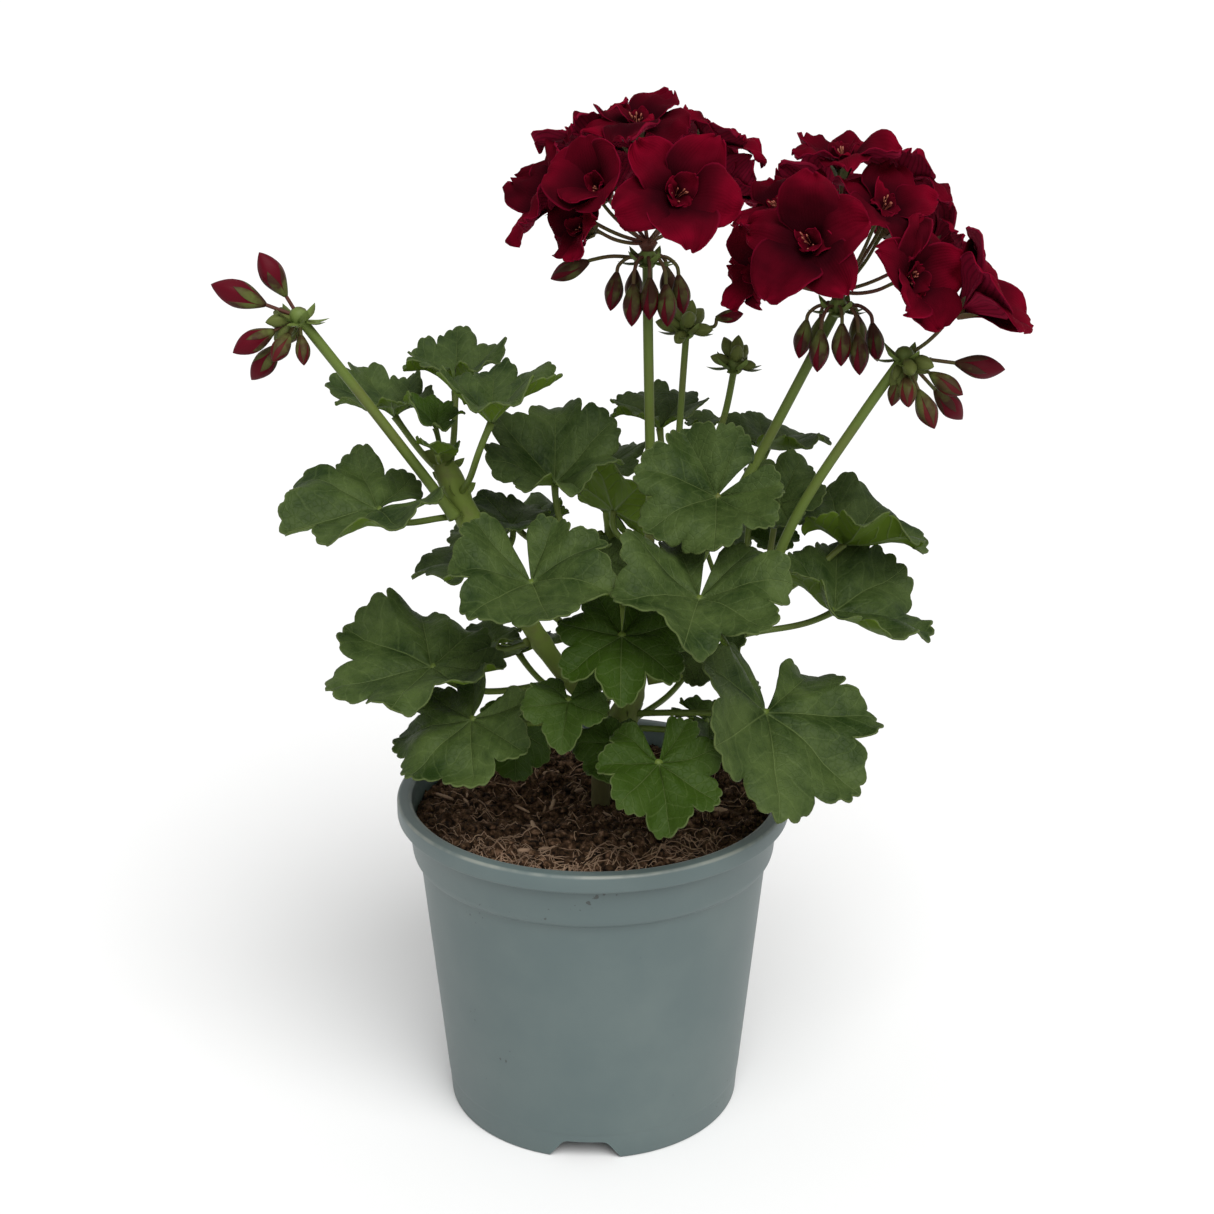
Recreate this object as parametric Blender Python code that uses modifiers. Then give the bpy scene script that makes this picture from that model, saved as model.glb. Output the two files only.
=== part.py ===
"""A potted zonal geranium in its nursery pot.

The pot is a 13 cm plastic nursery pot filled with soil. One woody stem stands in the soil and
carries low leaves and four leafy shoots. From the shoots rise two crimson flower heads, a spray
with a single open flower, a spray of buds and two young bud clusters.

Metres, +Z up. The object's box is centred on the origin, so the pot's axis stands at POT_AXIS.
Places on the plant are measured in millimetres from the pot's axis at ground level.
"""

import collections
import math
import random

import bmesh
import bpy
from mathutils import Matrix, Vector

MM = 0.001
GAP = 0.3 * MM
POT_AXIS = Vector((-8.2, -3.4, 0.0)) * MM

# Pot
POT_HEIGHT = 110 * MM
RIM_RADIUS = 65 * MM
LIP_HEIGHT = 6 * MM
BAND_RADIUS = 61.6 * MM
BAND_FOOT_RADIUS = 60 * MM
BAND_FOOT_HEIGHT = 90.4 * MM
WALL_TOP_RADIUS = 57.8 * MM
WALL_TOP_HEIGHT = 88 * MM
WALL_FOOT_RADIUS = 50.1 * MM
FLOOR_HEIGHT = 9.6 * MM
FOOT_RADIUS = 49.3 * MM
WALL = 1.5 * MM
FOOT_WALL = 2.2 * MM
POT_STEPS = 36
NOTCHES = 3
NOTCH_FIRST_ANGLE = math.radians(-93)
NOTCH_BOTTOM_WIDTH = 23.5 * MM
NOTCH_TOP_WIDTH = 14 * MM
NOTCH_HEIGHT = 6.5 * MM
NOTCH_DEPTH = 12 * MM
DRAIN_HOLES = 6
DRAIN_HOLE_RADIUS = 4.5 * MM
DRAIN_RING_RADIUS = 34 * MM
DRAIN_HOLE_SIDES = 8

# Soil: a mound and a hollow, each its place and its spread in millimetres, and low clods
SOIL_HEIGHT = 102 * MM
SOIL_STEPS = 18
SOIL_RING_SHARES = (0.0, 0.17, 0.36, 0.56, 0.78, 1.0)
MOUND_HEIGHT = 3.5
MOUND_PLACE = (5, -34)
MOUND_SPREAD = 20.5
HOLLOW_DEPTH = 5.0
HOLLOW_PLACE = (-22, 4)
HOLLOW_SPREAD = 16.1
CLOD_HEIGHT = 0.9
LUMP_HEIGHT = 0.6
STEM_HOLE_REACH = 40 * MM
STEM_HOLE_SIDES = 12

# Blades and petals
LEAF_THICKNESS = 0.8 * MM
PETAL_THICKNESS = 0.7 * MM
NOTCH_HALF_ANGLE = math.radians(8)
LOBE_CUT = 0.14
LOBE_ROUNDNESS = 2.4
TOOTH_CUT = 0.04
BLADE_HALF_LENGTH = 0.84
BLADE_FORWARD = 0.16
WAVE_HEIGHTS = (0.07, 0.05)
PLEAT_DEPTH = 0.035
TIP_DROOP = 0.10
INNER_RING = 0.55
LARGE_BLADE = 27
LARGE_LOBE_POINTS = 4
SMALL_LOBE_POINTS = 3
PETIOLE_RADIUS = 1.05 * MM
SMALL_PETIOLE_SHARE = 0.8
SMALL_LEAF = 15
PETIOLE_PIECES = 3
PETIOLE_REACH = 0.42
PEDICEL_RADIUS = 0.6 * MM
STUB_LENGTH = 6 * MM
PEDUNCLE_RADIUS = 1.6 * MM
YOUNG_STALK_RADIUS = 1.1 * MM
PETALS = 5
NOTCH_SHARE = 0.48
PETAL_MIDDLE_SHARE = 0.5
OUTER_LOBES = ((0.1, 0.93), (0.5, 1.0), (0.9, 0.93))
INNER_LOBES = ((0.5, 1.0),)
DOUBLE_FROM = 18
INNER_PETALS = 3
INNER_LENGTH = 0.62
INNER_OPENING = 0.5
INNER_LIFT = 1.6 * MM
PETAL_LEAN = (0.45, 0.4)
PETAL_WAVE = 0.07
CALYX_RADIUS = 2.2 * MM
CALYX_LENGTH = 4 * MM
HUB_RADIUS = 3.8 * MM
HUB_HEIGHT = 3.0 * MM
BUD_SHARES = (-0.04, 0.3, 0.65, 1.0)
BUD_RADII = (0.35, 1.0, 0.85, 0.15)
HANGING_GIRTH = 0.19
SPRAY_GIRTH = 0.27
BRACT_GIRTH = 0.24
FLORET_KNOB_RADIUS = 3.2 * MM
FLORET_KNOB_HEIGHT = 1.6 * MM

# name, petiole joint, blade radius, way the tip points, dip of the tip, roll, cup and fold in
# degrees, lobes round the margin, and where along its stem the petiole starts
Leaf = collections.namedtuple("Leaf", "name at radius aim dip roll cup fold lobes start")
# way it faces and height of that way in degrees, pedicel length, petal length, how far it is open
Floret = collections.namedtuple("Floret", "aim rise reach petal opening")
# way the pedicel leaves the hub, its reach, its drop below the hub, the bud's length, and how
# steeply the bud hangs in degrees
Bud = collections.namedtuple("Bud", "aim reach drop length tilt")

MAIN_STEM = ((2.5, 6, 90), (2.5, 5.5, 104), (3, 2, 119), (7, -3, 131), (11, -6, 141),
             (13, -4, 150), (14, -1, 160))
MAIN_STEM_RADII = (3.2, 3.2, 3.1, 3.4, 4.4, 3.6, 3.2)
LOW_LEAVES = (
    Leaf("left_high_front", (-18, -42, 196), 33, -75, 19, 12, 24, 0, 7, 0.95),
    Leaf("right_high_front", (32, -48, 193), 34, -103, 17, -12, 24, 0, 7, 0.97),
    Leaf("left_middle", (-50, -28, 164), 34, -158, 4, -9, 3, 12, 7, 0.88),
    Leaf("left_low", (-37, -42, 152), 28, -140, 32, -10, 4, 0, 7, 0.66),
    Leaf("front_middle", (9, -50, 182), 24, -92, 30, 0, 3, 0, 7, 0.86),
    Leaf("front_small", (-7, -55, 163), 16, -100, 32, 0, 0, 12, 5, 0.80),
    Leaf("low_hanging", (-24, -14, 137), 17, -110, 72, 0, 0, 25, 5, 0.55),
    Leaf("low_front", (20, -62, 146), 23, -78, 36, 0, -2, 12, 7, 0.50),
    Leaf("right_low_large", (54, -34, 151), 40, -85, 30, -30, 0, 18, 7, 0.70),
    Leaf("right_low_back", (38, -2, 135), 20, -20, 20, 0, 4, 0, 5, 0.60),
    Leaf("low_centre", (6, -24, 137), 14, -115, 35, 0, 0, 0, 5, 0.64),
    Leaf("low_back_left", (-26, 34, 146), 28, 130, 18, 0, 8, 0, 7, 0.62),
    Leaf("low_back_right", (34, 36, 141), 27, 55, 20, 0, 8, 0, 7, 0.56),
)

SHOOT_LEFT = ((4.5, -3, 140), (-4.3, 0, 145), (-15.5, 0, 159.8), (-26.6, 0, 179.7),
              (-36.6, -3, 199), (-44.8, -5, 218.9), (-47.5, -6, 226))
SHOOT_LEFT_RADII = (2.8, 3.0, 3.1, 3.3, 3.8, 3.4, 1.8)
LEFT_LEAVES = (
    Leaf("top", (-43, 6, 243.5), 25, 90, -4, 0, 44, 0, 7, 0.93),
    Leaf("top_left", (-63, 12, 234), 25, 175, 0, 0, 33, 0, 7, 0.90),
    Leaf("top_right", (-30, -26, 241), 28, 40, 0, 0, 42, 0, 7, 0.86),
    Leaf("young", (-48, -12, 236), 14, 160, -15, 0, 38, 0, 5, 0.96),
    Leaf("tip", (-47, -18, 229.5), 9, -120, -25, 0, 25, 0, 5, 0.99),
    Leaf("outer", (-66, -18, 212), 31, -158, 2, -9, 3, 12, 7, 0.78),
    Leaf("inner_dark", (-26, 8, 199), 17, 140, -15, 0, 20, 0, 5, 0.60),
    Leaf("under_left", (-40, 5, 189), 20, 178, 18, 0, 6, 0, 5, 0.50),
    Leaf("under_low", (-33, 8, 159), 16, 180, 5, 0, 15, 0, 5, 0.30),
)

SHOOT_CENTRE = ((14, -1, 160.5), (15, 2, 167), (21, 9, 173), (25, 15, 187), (28, 19, 203))
SHOOT_CENTRE_RADII = (3.0, 2.9, 2.7, 2.4, 1.8)
CENTRE_LEAVES = (
    Leaf("left_upright", (-12, 5, 214), 31, 90, -25, 0, 35, 0, 7, 0.30),
    Leaf("behind_stalk", (22, 34, 224.5), 23, 100, 0, 0, 36, 0, 7, 0.90),
    Leaf("veined_back", (7, 21, 200), 22, -135, -62, 0, 10, 0, 7, 0.60),
    Leaf("front_upright", (38, -22, 217), 30, -150, 20, -38, 26, 0, 7, 0.45),
    Leaf("young_bright", (33, 10, 201), 10, 150, -30, 0, 15, 0, 5, 0.75),
    Leaf("dark_inner", (5, 21, 183), 14, -100, 50, 0, 5, 0, 5, 0.40),
)

SHOOT_RIGHT = ((17.5, -3, 151), (28, -2, 153), (41.4, 0, 158), (53, -1, 175))
SHOOT_RIGHT_RADII = (2.8, 2.7, 2.5, 2.2)
RIGHT_LEAVES = (
    Leaf("twisted", (60, 9, 206), 18, 50, -38, 20, 26, 0, 5, 0.85),
    Leaf("top_back", (58, 35, 218), 23, 50, 4, 0, 16, 0, 7, 0.75),
    Leaf("outer_high", (82, 14, 191), 29, 8, 12, 0, 18, 14, 7, 0.95),
    Leaf("outer_low", (78, -1, 173), 33, -4, 20, 12, 14, 18, 7, 0.70),
    Leaf("bright_inner", (60, 21, 189.5), 10, 90, -20, 0, 10, 0, 5, 0.80),
    Leaf("small_low", (39, -10, 163), 15, -130, 35, 0, 5, 0, 5, 0.50),
    Leaf("back_small", (38, 60, 219), 10, 60, 0, 0, 20, 0, 5, 0.70),
)

SHOOT_BACK = ((12.5, 5, 155), (11.5, 12, 160), (9, 26, 172), (6, 38, 188), (5, 42, 196))
SHOOT_BACK_RADII = (2.6, 2.6, 2.4, 2.2, 1.6)
BACK_LEAVES = (
    Leaf("back_top", (2, 50, 206), 22, 110, -10, 0, 26, 0, 7, 0.95),
    Leaf("back_left", (-26, 48, 186), 27, 150, 12, 0, 14, 0, 7, 0.80),
    Leaf("back_right", (37, 61, 180), 28, 50, 14, 0, 14, 0, 7, 0.72),
    Leaf("back_middle", (0, 58, 170), 27, 95, 26, 0, 8, 0, 7, 0.60),
    Leaf("back_low", (20, 46, 158), 22, 75, 30, 0, 6, 0, 7, 0.45),
)

PEDUNCLE_LEFT = ((16.5, 3.5, 173), (18.5, 5, 200), (18.2, 5, 225), (17.4, 5, 260), (17, 5, 285))
PEDUNCLE_RIGHT = ((18.6, 0.9, 158.5), (28.3, 4, 174), (34.5, 4, 188.5), (54.3, 2, 227), (75.3, 0, 271))
HEAD_LEFT = (
    Floret(-76, 30, 33, 21, 76),
    Floret(-124, 36, 29, 17, 46),
    Floret(-168, 26, 29, 18, 68),
    Floret(166, 60, 32, 18, 68),
    Floret(-112, 74, 35, 18, 72),
    Floret(12, 58, 33, 18, 68),
    Floret(24, 30, 27, 16, 64),
    Floret(-140, 6, 24, 14, 66),
    Floret(98, 52, 31, 18, 72),
    Floret(56, 30, 29, 17, 72),
    Floret(136, 30, 30, 17, 72),
)
HEAD_RIGHT = (
    Floret(-112, 26, 33, 22, 76),
    Floret(-156, 52, 31, 18, 68),
    Floret(-100, 84, 37, 18, 72),
    Floret(-58, 54, 31, 18, 68),
    Floret(-54, 14, 29, 17, 68),
    Floret(12, 22, 31, 17, 68),
    Floret(12, 58, 35, 18, 70),
    Floret(-152, 8, 26, 15, 66),
    Floret(98, 46, 32, 18, 74),
    Floret(52, 30, 31, 17, 74),
)
BUDS_HEAD_LEFT = (
    Bud(-165, 9, 4, 12, 80),
    Bud(-125, 7, 7, 13, 86),
    Bud(-85, 6, 5, 13, 88),
    Bud(-50, 8, 7, 13, 86),
    Bud(-10, 9, 5, 12, 82),
    Bud(45, 8, 4, 12, 80),
    Bud(115, 8, 5, 12, 80),
    Bud(178, 17, 1, 13, 25),
)
BUDS_HEAD_RIGHT = (
    Bud(-170, 9, 4, 12, 80),
    Bud(-130, 8, 6, 13, 84),
    Bud(-85, 7, 4, 13, 86),
    Bud(-48, 8, 7, 13, 84),
    Bud(-8, 10, 5, 12, 80),
    Bud(45, 9, 4, 12, 80),
    Bud(120, 8, 5, 12, 80),
)

SPRAY_LEFT_STALK = ((-43, -9.5, 207), (-53, -12.5, 222.5), (-70, -15, 247), (-87.5, -16, 271))
SPRAY_RIGHT_STALK = ((54.5, -2, 179), (64.5, -8, 208), (82, -12, 239), (94.5, -13, 258.5))
# way of the bud from the hub as a direction, pedicel length, bud length
SPRAY_LEFT_BUDS = (
    ((-0.45, -0.1, 0.85), 4, 15),
    ((-0.93, -0.1, 0.38), 7, 17),
    ((-0.85, -0.3, -0.42), 5, 14),
    ((-0.6, 0.1, -0.75), 8, 14),
    ((-0.35, -0.65, -0.6), 3, 11),
    ((-0.3, 0.75, -0.5), 4, 11),
    ((0.1, -0.3, -0.9), 2, 9),
)
SPRAY_RIGHT_BUDS = (
    ((0.97, -0.15, -0.1), 12, 15),
    ((0.85, -0.45, -0.5), 6, 12),
    ((0.68, 0.2, -0.72), 12, 14),
    ((0.35, -0.5, -0.82), 8, 13),
    ((0.0, -0.75, -0.7), 4, 11),
    ((0.2, 0.75, -0.6), 5, 11),
    ((-0.2, -0.1, -0.9), 3, 9),
)
SINGLE_FLOWER_STALK = ((97.4, -14.8, 260.6), (102.5, -18, 267), (106.4, -20, 271.5))
SINGLE_FLOWER = Floret(-10, 36, 0, 22, 62)

YOUNG_A_STALK = ((26.5, 18.5, 207), (27.5, 19.5, 220), (29, 21, 245), (30, 22, 260))
YOUNG_B_STALK = ((31, 20.5, 205), (37, 21, 217), (42.5, 21, 232), (45.5, 20, 249))
# length and height of the way out of each pointed bract of a young cluster, from its top down
YOUNG_A_BRACTS = ((8, 80), (9, 48), (9, 40), (9, 30), (9, 15), (8, 5), (8, -8), (7, -20))
YOUNG_B_BRACTS = ((8, 84), (8, 60), (8, 50), (7, 38), (7, 20), (6, 5), (6, -12))
YOUNG_CORE_RADIUS = 3.6 * MM
YOUNG_TURN = math.radians(137.5)
YOUNG_A_SIDE_BUD = Bud(-15, 9, -4, 9, -12)

CRIMSON = (0.158, 0.002, 0.012)
LEAF_GREEN = (0.055, 0.095, 0.028)
STALK_GREEN = (0.14, 0.18, 0.035)
POT_TEAL = (0.135, 0.185, 0.18)
SOIL_BROWN = (0.035, 0.02, 0.01)


def material(name, colour, roughness):
    made = bpy.data.materials.new(name)
    made.use_nodes = True
    shader = made.node_tree.nodes["Principled BSDF"]
    shader.inputs["Base Color"].default_value = (*colour, 1.0)
    shader.inputs["Roughness"].default_value = roughness
    shader.inputs["Metallic"].default_value = 0.0
    return made


def collection(name, hidden=False):
    made = bpy.data.collections.new(name)
    made.hide_render = hidden
    bpy.context.scene.collection.children.link(made)
    return made


def add_object(name, data, where):
    made = bpy.data.objects.new(name, data)
    where.objects.link(made)
    return made


def mesh_from_bmesh(name, shape):
    mesh = bpy.data.meshes.new(name)
    shape.to_mesh(mesh)
    shape.free()
    return mesh


def evaluated_mesh(thing):
    bpy.context.view_layer.update()
    graph = bpy.context.evaluated_depsgraph_get()
    return bpy.data.meshes.new_from_object(thing.evaluated_get(graph))


def millimetres(points):
    return [Vector(point) * MM for point in points]


def smooth_path(points, pieces):
    """Points of a smooth curve through the given ones, with so many pieces between neighbours."""
    path = []
    last = len(points) - 1
    for i in range(last):
        before = points[max(i - 1, 0)]
        start = points[i]
        end = points[i + 1]
        after = points[min(i + 2, last)]
        for step in range(pieces):
            t = step / pieces
            path.append(0.5 * (2 * start + (end - before) * t
                               + (2 * before - 5 * start + 4 * end - after) * t * t
                               + (3 * start - before - 3 * end + after) * t ** 3))
    path.append(points[last])
    return path


def point_along(points, share):
    """The place at this share of the polyline's length."""
    lengths = [(b - a).length for a, b in zip(points, points[1:])]
    left = share * sum(lengths)
    for a, b, length in zip(points, points[1:], lengths):
        if left <= length:
            return a.lerp(b, left / length)
        left -= length
    return points[-1]


def tube(name, points, radii, where, rounding=1):
    """A closed tube through the points, as a mesh; rounding 0, 1, 2 gives 4, 6, 8 sides."""
    curve = bpy.data.curves.new(name, "CURVE")
    curve.dimensions = "3D"
    curve.bevel_depth = 1.0
    curve.bevel_resolution = rounding
    curve.use_fill_caps = True
    spline = curve.splines.new("POLY")
    spline.points.add(len(points) - 1)
    for place, point, radius in zip(spline.points, points, radii):
        place.co = (*point, 1.0)
        place.radius = radius
    drawn = add_object(name + "_curve", curve, where)
    mesh = evaluated_mesh(drawn)
    bpy.data.objects.remove(drawn)
    shape = bmesh.new()
    shape.from_mesh(mesh)
    bmesh.ops.remove_doubles(shape, verts=shape.verts, dist=0.01 * MM)
    shape.to_mesh(mesh)
    shape.free()
    return add_object(name, mesh, where)


def fuse(name, trunk, repeats, target):
    """Joins everything in the repeats collection to the trunk, as one closed body."""
    join = trunk.modifiers.new("join", "BOOLEAN")
    join.operation = "UNION"
    join.operand_type = "COLLECTION"
    join.collection = repeats
    join.solver = "MANIFOLD"
    mesh = evaluated_mesh(trunk)
    mesh.name = name
    keep_largest_shell(mesh)
    bpy.data.objects.remove(trunk)
    for thing in list(repeats.objects):
        bpy.data.objects.remove(thing)
    bpy.data.collections.remove(repeats)
    return add_object(name, mesh, target)


def keep_largest_shell(mesh):
    """Fills the small hollows that crossing blades close off, and drops loose scraps."""
    shape = bmesh.new()
    shape.from_mesh(mesh)
    unseen = set(shape.verts)
    shells = []
    while unseen:
        edge = [unseen.pop()]
        shell = list(edge)
        while edge:
            reached = []
            for vertex in edge:
                for link in vertex.link_edges:
                    other = link.other_vert(vertex)
                    if other in unseen:
                        unseen.remove(other)
                        reached.append(other)
            shell += reached
            edge = reached
        shells.append(shell)
    shells.sort(key=len)
    for shell in shells[:-1]:
        bmesh.ops.delete(shape, geom=shell, context="VERTS")
    shape.to_mesh(mesh)
    shape.free()


def finish(thing, look, parent):
    thing.data.materials.clear()
    thing.data.materials.append(look)
    thing.parent = parent
    thing.data.shade_smooth()
    thing.data.set_sharp_from_angle(angle=math.radians(40))


def turned(name, profile, steps, where):
    """A turned solid: the profile runs from the axis round the outside back to the axis."""
    mesh = bpy.data.meshes.new(name)
    mesh.from_pydata([(r, 0.0, z) for r, z in profile], [(i, i + 1) for i in range(len(profile) - 1)], [])
    made = add_object(name, mesh, where)
    turn = made.modifiers.new("turn", "SCREW")
    turn.steps = steps
    turn.render_steps = steps
    turn.use_merge_vertices = True
    turn.merge_threshold = 0.01 * MM
    return made


def inner_wall():
    """The inside of the pot's wall from the rim down: radius and height of each corner."""
    return (
        (RIM_RADIUS - 3.6 * MM, POT_HEIGHT),
        (RIM_RADIUS - 4.9 * MM, POT_HEIGHT - 0.6 * MM),
        (BAND_FOOT_RADIUS - WALL, BAND_FOOT_HEIGHT),
        (WALL_TOP_RADIUS - WALL, WALL_TOP_HEIGHT + 0.5 * MM),
        (WALL_FOOT_RADIUS - FOOT_WALL, FLOOR_HEIGHT - 0.2 * MM),
    )


def pot(where, cutters, parent):
    outer = (
        (RIM_RADIUS - 0.8 * MM, POT_HEIGHT),
        (RIM_RADIUS, POT_HEIGHT - 0.8 * MM),
        (RIM_RADIUS, POT_HEIGHT - LIP_HEIGHT + 0.5 * MM),
        (RIM_RADIUS - 0.6 * MM, POT_HEIGHT - LIP_HEIGHT),
        (BAND_RADIUS, POT_HEIGHT - LIP_HEIGHT - 0.1 * MM),
        (BAND_FOOT_RADIUS + 0.3 * MM, BAND_FOOT_HEIGHT + 1.6 * MM),
        (BAND_FOOT_RADIUS - 0.2 * MM, BAND_FOOT_HEIGHT),
        (WALL_TOP_RADIUS + 0.3 * MM, WALL_TOP_HEIGHT + 1.2 * MM),
        (WALL_TOP_RADIUS, WALL_TOP_HEIGHT),
        (WALL_FOOT_RADIUS, FLOOR_HEIGHT),
        (FOOT_RADIUS, 0.0),
        (FOOT_RADIUS - FOOT_WALL, 0.0),
        (WALL_FOOT_RADIUS - FOOT_WALL - 0.2 * MM, FLOOR_HEIGHT - 2 * MM),
        (0.0, FLOOR_HEIGHT - WALL),
    )
    inside = tuple(reversed(inner_wall()))
    made = turned("pot_turned", ((0.0, FLOOR_HEIGHT), *inside, *outer), POT_STEPS, where)
    for i in range(NOTCHES):
        cutter = foot_notch(cutters)
        cutter.rotation_euler.z = NOTCH_FIRST_ANGLE + i * math.tau / NOTCHES
        cut(made, cutter)
    for i in range(DRAIN_HOLES):
        angle = (i + 0.5) * math.tau / DRAIN_HOLES
        cutter = drill(DRAIN_HOLE_RADIUS, 4 * WALL, DRAIN_HOLE_SIDES, cutters)
        cutter.location = (DRAIN_RING_RADIUS * math.cos(angle), DRAIN_RING_RADIUS * math.sin(angle),
                           FLOOR_HEIGHT - WALL / 2)
        cut(made, cutter)
    mesh = evaluated_mesh(made)
    mesh.name = "pot"
    bpy.data.objects.remove(made)
    finish(add_object("pot", mesh, where), material("pot_plastic", POT_TEAL, 0.55), parent)


def foot_notch(cutters):
    """A block that straddles the foot ring, wider at the ground than at its top."""
    shape = bmesh.new()
    bmesh.ops.create_cube(shape, size=1.0)
    for corner in shape.verts:
        above = corner.co.z > 0
        width = NOTCH_TOP_WIDTH if above else 2 * NOTCH_BOTTOM_WIDTH - NOTCH_TOP_WIDTH
        height = NOTCH_HEIGHT if above else -NOTCH_HEIGHT
        corner.co = (FOOT_RADIUS + corner.co.x * NOTCH_DEPTH, corner.co.y * width, height)
    return hide_guide(add_object("notch_cutter", mesh_from_bmesh("notch_cutter", shape), cutters))


def drill(radius, depth, sides, cutters):
    shape = bmesh.new()
    bmesh.ops.create_cone(shape, cap_ends=True, segments=sides, radius1=radius, radius2=radius,
                          depth=depth)
    return hide_guide(add_object("drill", mesh_from_bmesh("drill", shape), cutters))


def hide_guide(thing):
    thing.hide_render = True
    thing.display_type = "WIRE"
    return thing


def cut(thing, cutter):
    bite = thing.modifiers.new(cutter.name, "BOOLEAN")
    bite.operation = "DIFFERENCE"
    bite.object = cutter


def soil_surface(x, y):
    """Height of the soil above SOIL_HEIGHT: a mound at the front, a hollow left of the stem, and clods."""
    mound = MOUND_HEIGHT * math.exp(-(math.dist((x, y), MOUND_PLACE) / MOUND_SPREAD) ** 2)
    hollow = HOLLOW_DEPTH * math.exp(-(math.dist((x, y), HOLLOW_PLACE) / HOLLOW_SPREAD) ** 2)
    clods = CLOD_HEIGHT * math.sin(0.31 * x + 1.0) * math.sin(0.27 * y + 0.4)
    lumps = LUMP_HEIGHT * math.sin(0.55 * x - 0.4 * y)
    return (mound - hollow + clods + lumps) * MM


def soil(where, cutters, parent):
    _, _, band, wall, floor = inner_wall()
    top_radius = RIM_RADIUS - 4.9 * MM - (RIM_RADIUS - 4.9 * MM - band[0]) * 0.4 - 1.5 * GAP
    rings = [(top_radius * share, SOIL_HEIGHT) for share in SOIL_RING_SHARES]
    side = [
        (band[0] - 1.5 * GAP, band[1]),
        (wall[0] - 1.5 * GAP, wall[1] - 1.5 * GAP),
        (floor[0] - 1.5 * GAP, floor[1] + 3 * GAP),
        (0.0, FLOOR_HEIGHT + GAP),
    ]
    made = turned("soil_turned", rings + side, SOIL_STEPS, where)
    mesh = evaluated_mesh(made)
    bpy.data.objects.remove(made)
    for vertex in mesh.vertices:
        if vertex.co.z > SOIL_HEIGHT - 0.1 * MM:
            edge = 1 - 0.6 * (math.hypot(vertex.co.x, vertex.co.y) / top_radius) ** 4
            vertex.co.z += soil_surface(vertex.co.x / MM, vertex.co.y / MM) * edge
    plug = add_object("soil_plug", mesh, where)
    cutter = drill(MAIN_STEM_RADII[0] * MM + 1.5 * GAP, STEM_HOLE_REACH, STEM_HOLE_SIDES, cutters)
    cutter.location = Vector(MAIN_STEM[0]) * MM + Vector((0, 0, STEM_HOLE_REACH / 2 - GAP))
    cut(plug, cutter)
    mesh = evaluated_mesh(plug)
    mesh.name = "soil"
    bpy.data.objects.remove(plug)
    finish(add_object("soil", mesh, where), material("peat_soil", SOIL_BROWN, 0.95), parent)


def leaf_frame(leaf):
    """Directions of a blade: along its middle, to its side, and out of its upper face."""
    aim = math.radians(leaf.aim)
    dip = math.radians(leaf.dip)
    along = Vector((math.cos(aim) * math.cos(dip), math.sin(aim) * math.cos(dip), -math.sin(dip)))
    side = Vector((-math.sin(aim), math.cos(aim), 0.0))
    roll = Matrix.Rotation(math.radians(leaf.roll), 3, along)
    side = roll @ side
    return along, side, along.cross(side)


def leaf_waves(leaf):
    """The seeded unevenness of one blade: where its two waves start, and how high they are."""
    draw = random.Random(leaf.name)
    return draw.uniform(0, math.tau), draw.uniform(0, math.tau), draw.uniform(0.6, 1.0)


def blade_place(leaf, waves, turn, reach):
    """A point of the blade in its own directions.

    turn runs from -1 to 1 round the margin, from one side of the notch at the petiole to the
    other, and reach from 0 at the petiole to 1 at the margin.
    """
    theta = turn * (math.pi - NOTCH_HALF_ANGLE)
    lobe = (turn + 1) / 2 * leaf.lobes
    across = 2 * (lobe - math.floor(lobe)) - 1
    teeth = TOOTH_CUT * (abs(math.cos(1.5 * math.pi * across)) - 1)
    margin = 1 - LOBE_CUT * abs(across) ** LOBE_ROUNDNESS + teeth
    outline = (BLADE_HALF_LENGTH + BLADE_FORWARD * math.cos(theta)) * (1 + (margin - 1) * reach ** 2)
    distance = leaf.radius * MM * outline * reach
    lift = math.radians(leaf.cup) * (1.15 - 0.3 * reach)
    flat = distance * math.cos(lift)
    u = flat * math.cos(theta)
    v = flat * math.sin(theta)
    w = distance * math.sin(lift) + abs(v) * math.tan(math.radians(leaf.fold))
    size = leaf.radius * MM
    w += size * reach * reach * waves[2] * (WAVE_HEIGHTS[0] * math.sin(2 * theta + waves[0])
                                            + WAVE_HEIGHTS[1] * math.sin(5 * theta + waves[1]))
    w -= PLEAT_DEPTH * size * reach * math.cos(math.pi * across)
    w -= TIP_DROOP * u * abs(u) / size
    return u, v, w


def blade(leaf, where):
    """One scalloped blade: a fan of faces round the petiole joint, given its thickness."""
    along, side, up = leaf_frame(leaf)
    waves = leaf_waves(leaf)
    joint = Vector(leaf.at) * MM
    points = LARGE_LOBE_POINTS if leaf.radius > LARGE_BLADE else SMALL_LOBE_POINTS

    def place(turn, reach):
        u, v, w = blade_place(leaf, waves, turn, reach)
        return joint + along * u + side * v + up * w

    def ring(count, reach):
        return [shape.verts.new(place(-1 + 2 * i / count, reach)) for i in range(count + 1)]

    shape = bmesh.new()
    centre = shape.verts.new(joint)
    inner = ring(leaf.lobes, INNER_RING)
    outer = ring(leaf.lobes * points, 1.0)
    half = points // 2
    for i in range(leaf.lobes):
        edge = outer[i * points:(i + 1) * points + 1]
        shape.faces.new((centre, inner[i], inner[i + 1]))
        shape.faces.new((inner[i], edge[half], inner[i + 1]))
        for j in range(points):
            near = inner[i] if j < half else inner[i + 1]
            shape.faces.new((near, edge[j], edge[j + 1]))
    made = add_object("blade_" + leaf.name, mesh_from_bmesh("blade", shape), where)
    thicken(made, LEAF_THICKNESS)
    return made


def thicken(thing, thickness):
    skin = thing.modifiers.new("thickness", "SOLIDIFY")
    skin.thickness = thickness
    skin.offset = 0.0


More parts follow.
